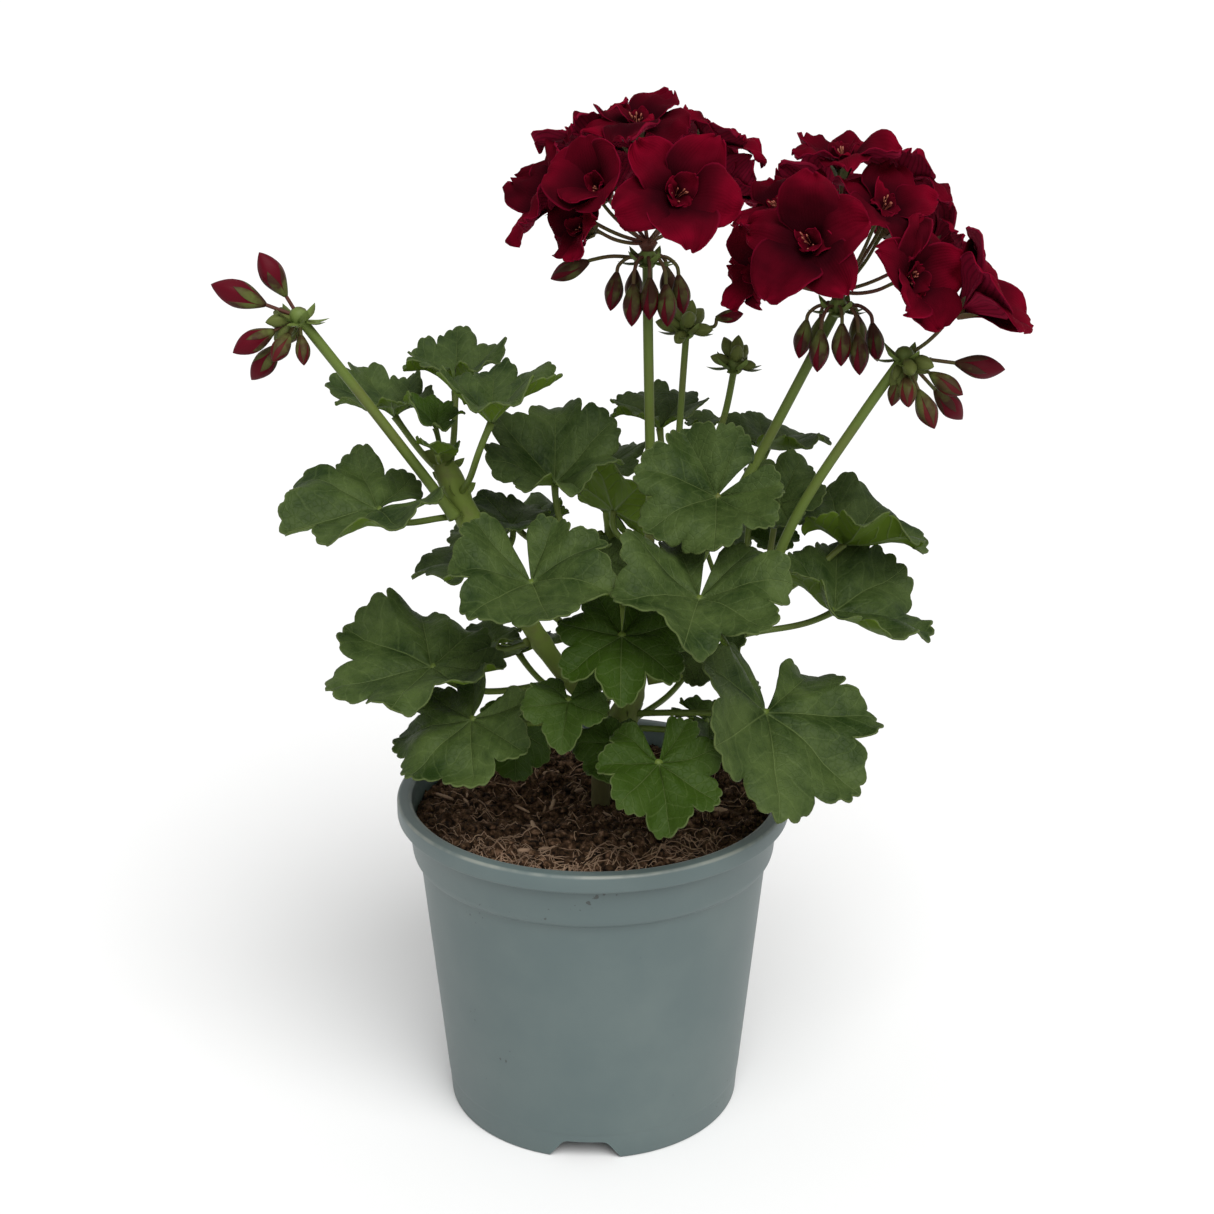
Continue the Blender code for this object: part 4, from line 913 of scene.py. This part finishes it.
def thicken(thing, thickness):
    """Gives a skin its thickness, and its second look to the side that it didn't have."""
    shell = thing.modifiers.new("thickness", "SOLIDIFY")
    shell.thickness = thickness
    shell.offset = 0.0
    shell.material_offset = 1
    settle(thing)


for stem in STEMS:
    shape = bmesh.new()
    veins = shape.loops.layers.uv.new("veins")
    reaches = shape.verts.layers.float.new("reach")
    tones = shape.verts.layers.float.new("tone")
    for leaf in stem.leaves:
        fresh = leaf.name in FRESH_LEAVES
        age = random.Random(leaf.name + " age").uniform(*FRESHNESS) if fresh else 0.0
        add_blade(shape, leaf, veins, reaches, tones, age)
    blades = add_piece(stem.name + "_leaves", shape, leaf_upper, leaf_under)
    thicken(blades, LEAF_THICKNESS)
    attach(blades, "root")
    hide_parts(stem.name)

# The open flowers: twenty semi-double florets of dark crimson velvet, each on a thin red-brown
# pedicel with a green calyx, five broad ruffled petals lapping round a few small crumpled ones.
PETALS = 5
PETAL_ROWS = 13
PETAL_COLUMNS = 14
PETAL_THICKNESS = 0.28 * MM
PETAL_WIDTH = 0.96
PETAL_RUFFLE = 0.32
PETAL_CRIMP = 0.11
PETAL_SWAY = 0.05
PETAL_CUP = 0.22
PETAL_CURL = 0.10
RING_WAVE = 0.07
CLAW_LEAN = 0.45
LOBE_LEAN = 0.4
TOP_FLORET_RISE = 50
TOP_PETAL_SHARE = 0.9
TOP_PETAL_SPREAD = 16
PETAL_SHARES = (0.94, 1.14)
OPENINGS = (-18, 10)
WIDTHS = (0.88, 1.14)
FUNNEL_OPENING = 63
DEEP_OPENING = 52
# share of the random tone kept by a deeply cupped floret: its petals are darkened as painted shade inside
# the cup
DEEP_FLORET_SHADE = 0.25
FUNNEL_UNREST = 0.35
FUNNEL_WIDTH = 1.2
CLAW_WIDTH = 0.05
LOBE_START = 0.45
LOBE_CENTRE = 0.55
LOBE_RADIUS = 0.47
INNER_PETALS = 5
INNER_LENGTH = (0.30, 0.56)
INNER_OPENING = (0.3, 0.85)
INNER_WIDTH = (0.7, 1.0)
INNER_LIFT = 0.9
BIG_PETAL = 20
BIG_PETAL_SHARE = 0.92
CALYX_LENGTH = 4 * MM
CALYX_RADIUS = 2.2 * MM
PEDICEL_RADIUS = 0.6 * MM
PEDICEL_SIDES = 8
PEDICEL_SAG = 0.06
HUB_RADIUS = 3.8 * MM
HUB_HEIGHT = 3.0 * MM
HUB_SIDES = 16
KNOB_RADIUS = 3.2 * MM
KNOB_HEIGHT = 1.6 * MM
SEAT_GAP = 0.3 * MM
SEPAL_LENGTH = 7.5 * MM
SEPAL_WIDTH = 0.34 * SEPAL_LENGTH
# how far a sepal sits behind the flower and beside its axis, in millimetres
SEPAL_BACK = 2.2
SEPAL_ASIDE = 1.4
STAMENS = 7
STAMEN_LEAN = (0.15, 0.5)
STAMEN_SHARES = (0.26, 0.4)
CRIMSON = (0.128, 0.0004, 0.0085, 1)
# dark crimson: painted shade in the petals' throats, and also the real streaks on the petals' backs
CRIMSON_STREAK_AND_SHADE = (0.018, 0.0002, 0.0020, 1)
# lighter crimson painted along the petals' margins and tips as a painted highlight
CRIMSON_EDGE_HIGHLIGHT = (0.200, 0.003, 0.022, 1)
PETAL_BACK = (0.165, 0.004, 0.020, 1)
PEDICEL_RED = (0.082, 0.028, 0.018, 1)
PEDICEL_GREEN = (0.075, 0.082, 0.020, 1)
POLLEN_YELLOW = (0.34, 0.13, 0.06, 1)
ANTHER_PINK = (0.27, 0.03, 0.035, 1)

PEDUNCLE_LEFT = ((16.5, 3.5, 173), (18.5, 5, 200), (18.2, 5, 225), (17.4, 5, 260), (17, 5, 285))
PEDUNCLE_RIGHT = ((18.6, 0.9, 158.5), (28.3, 4, 174), (34.5, 4, 188.5), (54.3, 2, 227), (75.3, 0, 271))
# way it faces and height of that way in degrees, pedicel length, petal length, how far it is open
Floret = collections.namedtuple("Floret", "aim rise reach petal opening")
HEAD_LEFT = (
    Floret(-76, 30, 33, 21, 76), Floret(-124, 36, 29, 17, 46), Floret(-168, 26, 29, 18, 68),
    Floret(166, 60, 32, 18, 68), Floret(-112, 74, 35, 18, 72), Floret(12, 58, 33, 18, 68),
    Floret(24, 30, 27, 16, 64), Floret(-140, 15, 24, 13, 66), Floret(98, 52, 31, 18, 72),
    Floret(56, 30, 29, 17, 72), Floret(136, 30, 30, 17, 72))
HEAD_RIGHT = (
    Floret(-112, 31, 33, 22, 76), Floret(-156, 52, 31, 18, 68), Floret(-100, 84, 37, 18, 72),
    Floret(-58, 54, 31, 18, 68), Floret(-54, 14, 29, 17, 68), Floret(12, 22, 31, 17, 68),
    Floret(12, 58, 35, 18, 70), Floret(-152, 16, 26, 15, 66), Floret(98, 46, 32, 18, 74),
    Floret(52, 30, 31, 17, 74))
SINGLE_FLOWER_STALK = ((97.4, -14.8, 260.6), (102.5, -18, 267), (106.4, -20, 271.5))
SINGLE_FLOWER = Floret(-10, 36, 0, 22, 62)


def flower_frame(spec):
    """The direction that a floret faces, and two directions across it."""
    axis = direction(spec.aim, spec.rise)
    across = axis.cross(UP).normalized()
    return axis, across, axis.cross(across)


def petal_place(length, opening, ruffle, turn, share):
    """A point of a ring of petals: distance out from the flower's axis, and up the axis."""
    lean = math.radians(opening * (CLAW_LEAN + LOBE_LEAN * share))
    wave = RING_WAVE * share * share * math.sin(3 * turn + ruffle)
    return length * share * math.sin(lean), length * (share * math.cos(lean) + wave)


lobe_shoulder = math.sqrt(LOBE_RADIUS ** 2 - (LOBE_START - LOBE_CENTRE) ** 2)


def petal_half_width(share):
    """Half the petal's width for its length: a wedge from the claw that runs into a round lobe."""
    if share < LOBE_START:
        return CLAW_WIDTH + (lobe_shoulder - CLAW_WIDTH) * (share / LOBE_START) ** 1.3
    return math.sqrt(max(LOBE_RADIUS ** 2 - (share - LOBE_CENTRE) ** 2, 0.0))


def add_petal(shape, frame, centre, turn, length, opening, ruffle, width, unrest, chance, wrap, tones):
    """One obovate petal with a narrow claw, a waved margin and one edge lapped over its neighbour."""
    axis, across, other = frame
    phase = chance.uniform(0, math.tau)
    waves = chance.uniform(0.7, 1.3)
    twist = chance.uniform(0.04, 0.30)
    # A deeply cupped floret's petals get a lower tone, which is painted shade inside the cup; otherwise the
    # tone differs at random.
    tone = chance.uniform(0.0, 1.0) * (DEEP_FLORET_SHADE if opening < DEEP_OPENING else 1.0)
    folds = Vector((chance.uniform(0, 90), chance.uniform(0, 90), 0))
    ray = round_way(across, other, turn)
    beside = axis.cross(ray)
    rows = []
    for j in range(PETAL_ROWS + 1):
        share = 0.02 + 0.99 * (1 - (1 - j / PETAL_ROWS) ** 1.5)
        half = width * length * petal_half_width(share)
        row = []
        for k in range(PETAL_COLUMNS + 1):
            t = 2 * k / PETAL_COLUMNS - 1
            out, up = petal_place(length, opening, ruffle, turn, share)
            lateral = half * t
            spot = Vector((lateral / length, share, 0))
            frill = (PETAL_RUFFLE * noise.noise(spot * 2.2 + folds)
                     + PETAL_CRIMP * noise.noise(spot * 6 + folds)
                     + PETAL_SWAY * share * math.sin(waves * math.tau * t + phase))
            frill *= unrest * length * share ** 1.5
            lap = twist * lateral * share
            cup = PETAL_CUP * lateral * lateral / length
            curl = PETAL_CURL * length * share ** 5
            row.append(shape.verts.new(centre + ray * (out - cup + 0.5 * curl) + beside * lateral
                                       + axis * (up + frill + lap + 0.5 * cup - 0.6 * curl)))
            row[-1][tones] = tone
        rows.append(row)
    join_rows(shape, rows, [j / PETAL_ROWS for j in range(PETAL_ROWS + 1)], wrap, over=True)


def add_petals(shape, spec, centre, seed, wrap, tones):
    """The large petals of a floret and the small crumpled ones inside them."""
    frame = flower_frame(spec)
    chance = random.Random(seed)
    spin = chance.uniform(0, math.tau)
    ruffle = chance.uniform(0, math.tau)
    topmost = spec.rise > TOP_FLORET_RISE
    length = spec.petal * MM * (TOP_PETAL_SHARE if topmost else 1.0)
    if spec.petal > BIG_PETAL and spec.reach:
        length *= BIG_PETAL_SHARE
    opening = spec.opening + (TOP_PETAL_SPREAD if topmost else 0)
    funnel = spec.opening < FUNNEL_OPENING
    unrest = FUNNEL_UNREST if funnel else 1.0
    broad = PETAL_WIDTH * (FUNNEL_WIDTH if funnel else 1.0)
    for i in range(PETALS):
        turn = spin + (i + 0.5) * math.tau / PETALS + chance.uniform(-0.08, 0.08)
        add_petal(shape, frame, centre, turn, length * chance.uniform(*PETAL_SHARES),
                  opening + unrest * chance.uniform(*OPENINGS), ruffle, broad * chance.uniform(*WIDTHS),
                  unrest, chance, wrap, tones)
    for i in range(INNER_PETALS):
        turn = spin + (i + chance.uniform(-0.25, 0.25)) * math.tau / INNER_PETALS
        add_petal(shape, frame, centre + frame[0] * INNER_LIFT * MM, turn,
                  length * chance.uniform(*INNER_LENGTH), opening * chance.uniform(*INNER_OPENING), ruffle,
                  chance.uniform(*INNER_WIDTH), 1.0, chance, wrap, tones)


def add_pedicel(shape, spec, root, centre, seed, wrap):
    """The thin stalk of a floret, swelling into its calyx, with five narrow sepals bent back."""
    axis, across, other = flower_frame(spec)
    foot = centre - axis * CALYX_LENGTH
    sag = UP * -PEDICEL_SAG * (foot - root).length
    line = [root, root.lerp(foot, 0.35) + sag, root.lerp(foot, 0.7) + sag, foot,
            centre - axis * 1.5 * MM, centre, centre + axis * 1.2 * MM]
    girths = [PEDICEL_RADIUS] * 3 + [1.15 * PEDICEL_RADIUS]
    girths += [CALYX_RADIUS * share for share in (0.8, 1.0, 0.4)]
    knots = smooth_path([Vector((*point, girth)) for point, girth in zip(line, girths)], 4)
    sweep(shape, [knot.xyz for knot in knots], [knot.w for knot in knots], PEDICEL_SIDES, wrap)
    spin = random.Random(seed + " sepals").uniform(0, math.tau)
    for i in range(PETALS):
        ray = round_way(across, other, spin + i * math.tau / PETALS)
        foot = centre - axis * SEPAL_BACK * MM + ray * SEPAL_ASIDE * MM
        bract(shape, foot, ray * 0.75 + axis, ray - axis, SEPAL_LENGTH, SEPAL_WIDTH, wrap)


def add_stamens(shape, spec, centre, seed, wrap):
    """A loose tuft of dull pink stamens in the flower's throat."""
    axis, across, other = flower_frame(spec)
    chance = random.Random(seed + " stamens")
    for i in range(STAMENS):
        turn = chance.uniform(0, math.tau)
        lean = chance.uniform(*STAMEN_LEAN)
        way = (axis + round_way(across, other, turn) * lean).normalized()
        length = spec.petal * MM * chance.uniform(*STAMEN_SHARES)
        sweep(shape, [centre + way * length * share for share in (0.0, 0.5, 0.86, 0.9, 1.0, 1.04)],
              [radius * MM for radius in (0.15, 0.13, 0.12, 0.28, 0.25, 0.1)], 6, wrap)


velvet, tree = new_material("petal_velvet", Roughness=0.85, Specular_IOR_Level=0.03, Sheen_Weight=0.2,
                            Sheen_Roughness=0.3, Sheen_Tint=(0.50, 0.0, 0.04, 1))
tone = painted(tree, "tone")
cloud = clouded(tree, 90.0, 4.0)
outwards = map_axis(tree, "wrap", "Y")
from_middle = worked(tree, "SUBTRACT", map_axis(tree, "wrap", "X"), 0.5)
# The petals darken towards the claw, deep in the flower: painted shade in the throat, varied at random by
# the clouds and by each petal's tone.
lit = times(tree, graded(tree, outwards, 0.15, 0.8), cloud)
lit = times(tree, lit, graded(tree, tone, 0.0, 1.0, 0.45, 1.1))
body = mixed(tree, graded(tree, lit, 0.06, 0.5), CRIMSON_STREAK_AND_SHADE, CRIMSON)
# The petals' margins and tips are painted lighter: a painted highlight of velvet catching the light.
edge = times(tree, worked(tree, "ABSOLUTE", from_middle), 2.0)
painted_edge_highlight = graded(tree, worked(tree, "MAXIMUM", edge, outwards), 0.93, 1.0, 0.0, 0.5)
ribs = worked(tree, "SINE", times(tree, from_middle, 120.0))
finish_look(tree, mixed(tree, painted_edge_highlight, body, CRIMSON_EDGE_HIGHLIGHT), times(tree, ribs, cloud), strength=0.25,
            depth=0.2 * MM)

petal_back, tree = new_material("petal_back", Roughness=0.8, Specular_IOR_Level=0.05, Sheen_Weight=0.3,
                                Sheen_Roughness=0.4, Sheen_Tint=(0.55, 0.02, 0.10, 1))
streaks = worked(tree, "SINE", times(tree, map_axis(tree, "wrap", "X"), 70.0))
finish_look(tree, mixed(tree, graded(tree, streaks, 0.3, 1.0, 0.0, 0.5), PETAL_BACK, CRIMSON_STREAK_AND_SHADE))

pedicel_look, tree = new_material("pedicel_skin", Roughness=0.55, Specular_IOR_Level=0.18)
blush = graded(tree, clouded(tree, 70.0, 3.0), 0.35, 0.62)
finish_look(tree, mixed(tree, blush, PEDICEL_GREEN, PEDICEL_RED))

anther, tree = new_material("anther_pink", Roughness=0.6)
finish_look(tree, mixed(tree, clouded(tree, 800.0, 2.0), ANTHER_PINK, POLLEN_YELLOW))


def add_flowers(name, node, florets):
    """The petals, the pedicels and the stamens of these florets, as three pieces for one node."""
    petals, petal_wrap = start_shape()
    tones = petals.verts.layers.float.new("tone")
    stalks, stalk_wrap = start_shape()
    tufts, tuft_wrap = start_shape()
    if len(florets) > 1:
        seat = florets[0][1]
        knob = [seat + UP * (KNOB_HEIGHT * share) for share in (-2.2, -1.2, -0.6, 0, 0.6, 1)]
        radii = [KNOB_RADIUS * share for share in (0.5, 0.62, 0.8, 1.0, 0.8, 0.3)]
        sweep(stalks, knob, radii, HUB_SIDES, stalk_wrap)
    for spec, root, centre, seed in florets:
        add_petals(petals, spec, centre, seed, petal_wrap, tones)
        add_pedicel(stalks, spec, root, centre, seed, stalk_wrap)
        add_stamens(tufts, spec, centre, seed, tuft_wrap)
    blooms = add_piece(name + "_petals", petals, velvet, petal_back)
    thicken(blooms, PETAL_THICKNESS)
    pieces = (blooms, add_piece(name + "_pedicels", stalks, pedicel_look),
              add_piece(name + "_stamens", tufts, anther))
    for piece, finish in zip(pieces, ("petal_crimson", "stalk_green", "petal_crimson")):
        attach(piece, "root")
        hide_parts(node)


for name, path, specs in (("head_left", PEDUNCLE_LEFT, HEAD_LEFT),
                          ("head_right", PEDUNCLE_RIGHT, HEAD_RIGHT)):
    seat = Vector(path[-1]) * MM + UP * (HUB_HEIGHT + SEAT_GAP + KNOB_HEIGHT)
    florets = [(spec, seat, seat + flower_frame(spec)[0] * spec.reach * MM, f"{name}_florets_{i}")
               for i, spec in enumerate(specs)]
    add_flowers(name, name + "_florets", florets)
end = Vector(SINGLE_FLOWER_STALK[-1]) * MM + flower_frame(SINGLE_FLOWER)[0] * CALYX_LENGTH
add_flowers("single_flower", "single_flower",
            [(SINGLE_FLOWER, Vector(SINGLE_FLOWER_STALK[0]) * MM, end, "single_flower")])

# The flower stalks: long smooth olive stems that end in a small knob, with a collar of bracts and
# hanging or upright buds, each a spindle of five brown-green sepals with a crimson tip.
PEDUNCLE_RADIUS = 1.6 * MM
YOUNG_STALK_RADIUS = 1.1 * MM
BUD_ROWS = 16
BUD_SIDES = 20
BUD_RIDGE = 0.07
STALK_SIDES = 14
HANGING_GIRTH = 0.22
SPRAY_GIRTH = 0.23
HANGING_RED = 0.08
SIDE_RED = 0.5
RIPE_RED = 0.55
UNRIPE_RED = -0.35
YOUNG_RED = -1.0
RIPE_LENGTH = 13
COLLAR_BRACTS = 9
COLLAR_LENGTH = 7 * MM
SPRAY_GREENS = 9
GREEN_LENGTHS = (6, 9)
YOUNG_CORE_RADIUS = 3.6 * MM
YOUNG_TURN = 137.5
BRACT_GIRTH = 0.24
BUD_GREEN = (0.088, 0.106, 0.026, 1)
BUD_BROWN = (0.042, 0.016, 0.009, 1)
BUD_RED = (0.078, 0.0004, 0.006, 1)
BRACT_GREEN = (0.115, 0.160, 0.036, 1)

# way the pedicel leaves the hub, its reach, its drop below the hub, the bud's length, and how
# steeply the bud hangs in degrees
Bud = collections.namedtuple("Bud", "aim reach drop length tilt")
BUDS_HEAD_LEFT = (
    Bud(-165, 9, 4, 12, 80), Bud(-125, 7, 7, 13, 86), Bud(-85, 6, 5, 13, 88), Bud(-50, 8, 7, 13, 86),
    Bud(-10, 9, 5, 12, 82), Bud(45, 8, 4, 12, 80), Bud(115, 8, 5, 12, 80), Bud(178, 17, 1, 13, 25))
BUDS_HEAD_RIGHT = (
    Bud(-170, 9, 4, 12, 80), Bud(-130, 8, 6, 13, 84), Bud(-85, 7, 4, 13, 86), Bud(-48, 8, 7, 13, 84),
    Bud(-8, 10, 5, 12, 80), Bud(45, 9, 4, 12, 80), Bud(120, 8, 5, 12, 80))
SPRAY_LEFT_STALK = ((-43, -9.5, 207), (-53, -12.5, 222.5), (-70, -15, 247), (-87.5, -16, 271))
SPRAY_RIGHT_STALK = ((54.5, -2, 179), (64.5, -8, 208), (82, -12, 239), (94.5, -13, 258.5))
# way of the bud from the hub as a direction, pedicel length, bud length
SPRAY_LEFT_BUDS = (
    ((-0.45, -0.1, 0.85), 4, 15), ((-0.93, -0.1, 0.38), 7, 17), ((-0.85, -0.3, -0.42), 5, 14),
    ((-0.6, 0.1, -0.75), 8, 14), ((-0.35, -0.65, -0.6), 3, 11), ((-0.3, 0.75, -0.5), 4, 11),
    ((0.1, -0.3, -0.9), 2, 9))
SPRAY_RIGHT_BUDS = (
    ((0.97, -0.15, -0.1), 12, 15), ((0.85, -0.45, -0.5), 6, 12), ((0.68, 0.2, -0.72), 12, 14),
    ((0.35, -0.5, -0.82), 8, 13), ((0.0, -0.75, -0.7), 4, 11), ((0.2, 0.75, -0.6), 5, 11),
    ((-0.2, -0.1, -0.9), 3, 9))
YOUNG_A_STALK = ((26.5, 18.5, 207), (27.5, 19.5, 220), (29, 21, 245), (30, 22, 260))
YOUNG_B_STALK = ((31, 20.5, 205), (37, 21, 217), (42.5, 21, 232), (45.5, 20, 249))
# length and height of the way out of each pointed bract of a young cluster, from its top down
YOUNG_A_BRACTS = ((8, 80), (9, 48), (9, 40), (9, 30), (9, 15), (8, 5), (8, -8), (7, -20))
YOUNG_B_BRACTS = ((8, 84), (8, 60), (8, 50), (7, 38), (7, 20), (6, 5), (6, -12))
YOUNG_A_SIDE_BUD = Bud(-15, 9, -4, 9, -12)


def add_bud(shape, foot, way, length, girth, red, wrap, reds):
    """A closed bud, pointed and a little five-sided.

    red is -1 for a young green bud, 0 for a brown one, and up to 1 the more of its petals shows.
    """
    way = way.normalized()
    across = way.orthogonal().normalized()
    other = way.cross(across)
    rings = []
    for j in range(BUD_ROWS + 1):
        share = j / BUD_ROWS
        radius = length * girth * math.sin(math.pi * share ** 1.1) ** 0.85
        radius += PEDICEL_RADIUS * (1 - share) ** 3 + 0.12 * MM
        rings.append([])
        for k in range(BUD_SIDES):
            angle = k * math.tau / BUD_SIDES + 0.5 * share * share
            ridge = 1 + BUD_RIDGE * math.cos(PETALS * angle) * math.sin(math.pi * share)
            rings[-1].append(shape.verts.new(foot + way * length * (share - 0.03)
                                             + round_way(across, other, angle) * radius * ridge))
            rings[-1][-1][reds] = red
    join_rows(shape, rings, [j / BUD_ROWS for j in range(BUD_ROWS + 1)], wrap, closed=True)


def add_hub(shape, hub, wrap):
    """The knob that carries the flowers or buds, with a collar of small bracts."""
    turns = [hub + UP * (HUB_HEIGHT * share) for share in (-1, -0.8, -0.4, 0, 0.4, 0.8, 1)]
    radii = [HUB_RADIUS * share for share in (0.35, 0.55, 0.72, 0.78, 0.75, 0.55, 0.25)]
    sweep(shape, turns, radii, HUB_SIDES, wrap)
    for i in range(COLLAR_BRACTS):
        out = Vector(turned(1.0, i * math.tau / COLLAR_BRACTS + 0.3, 0.0))
        foot = hub + out * 0.6 * HUB_RADIUS - UP * (0.5 * HUB_HEIGHT)
        bract(shape, foot, out + UP * (0.9 if i % 2 else 0.1), UP - out * 0.5, COLLAR_LENGTH,
              0.5 * COLLAR_LENGTH, wrap)


bud_look, tree = new_material("bud_sepals", Roughness=0.55, Specular_IOR_Level=0.1)
ripe = painted(tree, "reds")
upwards = map_axis(tree, "wrap", "Y")
grown = graded(tree, ripe, -0.6, -0.3)
brown = worked(tree, "MAXIMUM", graded(tree, clouded(tree, 160.0, 3.0), 0.36, 0.56),
               graded(tree, upwards, 0.25, 0.75))
sepal = mixed(tree, times(tree, brown, grown), BUD_GREEN, BUD_BROWN)
fives = worked(tree, "PINGPONG", times(tree, map_axis(tree, "wrap", "X"), PETALS), 0.5)
narrowed = worked(tree, "DIVIDE", upwards, graded(tree, ripe, 0.0, 1.0, 0.98, 0.35))
bare = worked(tree, "ADD", times(tree, fives, 2.0), worked(tree, "POWER", narrowed, 2.2))
showing = times(tree, graded(tree, bare, 0.97, 1.05), grown)
finish_look(tree, mixed(tree, showing, sepal, BUD_RED), times(tree, showing, -1.0), strength=0.8,
            depth=0.3 * MM)

bract_look, tree = new_material("bract_green", Roughness=0.55, Specular_IOR_Level=0.2)
fading = graded(tree, clouded(tree, 140.0, 3.0), 0.50, 0.75, 0.0, 0.8)
finish_look(tree, mixed(tree, fading, BRACT_GREEN, BUD_BROWN))


def hanging_bud(hub, spec, red):
    """The arch of a pedicel out of the hub, and the closed bud at its end."""
    out = direction(spec.aim, 0)
    reach = out * spec.reach * MM
    drop = UP * (-spec.drop * MM)
    arch = [hub, hub + reach * 0.6 + UP * (0.8 * MM), hub + reach + drop * 0.35, hub + reach * 1.08 + drop]
    return arch, (arch[-1], direction(spec.aim, -spec.tilt), spec.length * MM, HANGING_GIRTH, red)


def add_stalk(name, path, radius, pedicels, buds, node):
    """A flower stalk, the pedicels out of its knob, the knob with its bracts, and the buds."""
    shape, wrap = start_shape()
    line = smooth_path([Vector(point) * MM for point in path], 10)
    flare = [radius * (1 + 0.5 * math.exp(-i / 3)) for i in range(len(line))]
    sweep(shape, line, flare, STALK_SIDES, wrap)
    stalk = add_piece(name + "_peduncle", shape, stalk_look)
    shape, wrap = start_shape()
    for points in pedicels:
        arch = smooth_path(points, 5)
        sweep(shape, arch, [PEDICEL_RADIUS] * len(arch), PEDICEL_SIDES, wrap)
    arches = add_piece(name + "_bud_pedicels", shape, pedicel_look)
    shape, wrap = start_shape()
    add_hub(shape, Vector(path[-1]) * MM, wrap)
    collar = add_piece(name + "_collar", shape, bract_look)
    shape, wrap = start_shape()
    reds = shape.verts.layers.float.new("reds")
    for bud in buds:
        add_bud(shape, *bud, wrap, reds)
    closed = add_piece(name + "_buds", shape, bud_look)
    for piece in (stalk, arches, collar, closed):
        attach(piece, "root")
        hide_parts(node)


for name, path, specs in (("head_left", PEDUNCLE_LEFT, BUDS_HEAD_LEFT),
                          ("head_right", PEDUNCLE_RIGHT, BUDS_HEAD_RIGHT)):
    arches, buds = zip(*[hanging_bud(Vector(path[-1]) * MM, spec, HANGING_RED) for spec in specs])
    add_stalk(name, path, PEDUNCLE_RADIUS, arches, buds, name + "_stalk")

for name, path, specs in (("spray_left", SPRAY_LEFT_STALK, SPRAY_LEFT_BUDS),
                          ("spray_right", SPRAY_RIGHT_STALK, SPRAY_RIGHT_BUDS)):
    hub = Vector(path[-1]) * MM
    lower_side = sum((Vector(way).normalized() for way, _, _ in specs[2:]), Vector()).normalized()
    chance = random.Random(name)
    pedicels = []
    buds = []
    for i in range(SPRAY_GREENS):
        way = (lower_side * 1.1 + Vector([chance.uniform(-1, 1) for _ in range(3)])).normalized()
        foot = hub + way * HUB_RADIUS * chance.uniform(0.3, 0.9)
        buds.append((foot, way, chance.uniform(*GREEN_LENGTHS) * MM, SPRAY_GIRTH, YOUNG_RED))
    for way, reach, length in specs:
        way = Vector(way).normalized()
        foot = hub + way * (HUB_RADIUS + reach * MM)
        pedicels.append([hub, hub.lerp(foot, 0.5), foot + way * MM])
        red = RIPE_RED if length > RIPE_LENGTH else UNRIPE_RED
        buds.append((foot, way, length * MM, SPRAY_GIRTH, red))
    add_stalk(name, path, PEDUNCLE_RADIUS, pedicels, buds, name)

for name, path, bracts, side_buds in (
        ("young_buds_a", YOUNG_A_STALK, YOUNG_A_BRACTS, [YOUNG_A_SIDE_BUD]),
        ("young_buds_b", YOUNG_B_STALK, YOUNG_B_BRACTS, [])):
    top = Vector(path[-1]) * MM
    core = [top + UP * (YOUNG_CORE_RADIUS * share) for share in (-1, -0.5, 0, 0.5, 0.95)]
    hung = [hanging_bud(top, spec, SIDE_RED) for spec in side_buds]
    buds = [bud for _, bud in hung]
    if not side_buds:
        core = core[:4]
    for i, (length, rise) in enumerate(bracts):
        way = direction(i * YOUNG_TURN, rise)
        buds.append((top + way * YOUNG_CORE_RADIUS / 2, way, length * MM, BRACT_GIRTH, YOUNG_RED))
    add_stalk(name, path, YOUNG_STALK_RADIUS, [core] + [arch for arch, _ in hung], buds, name)
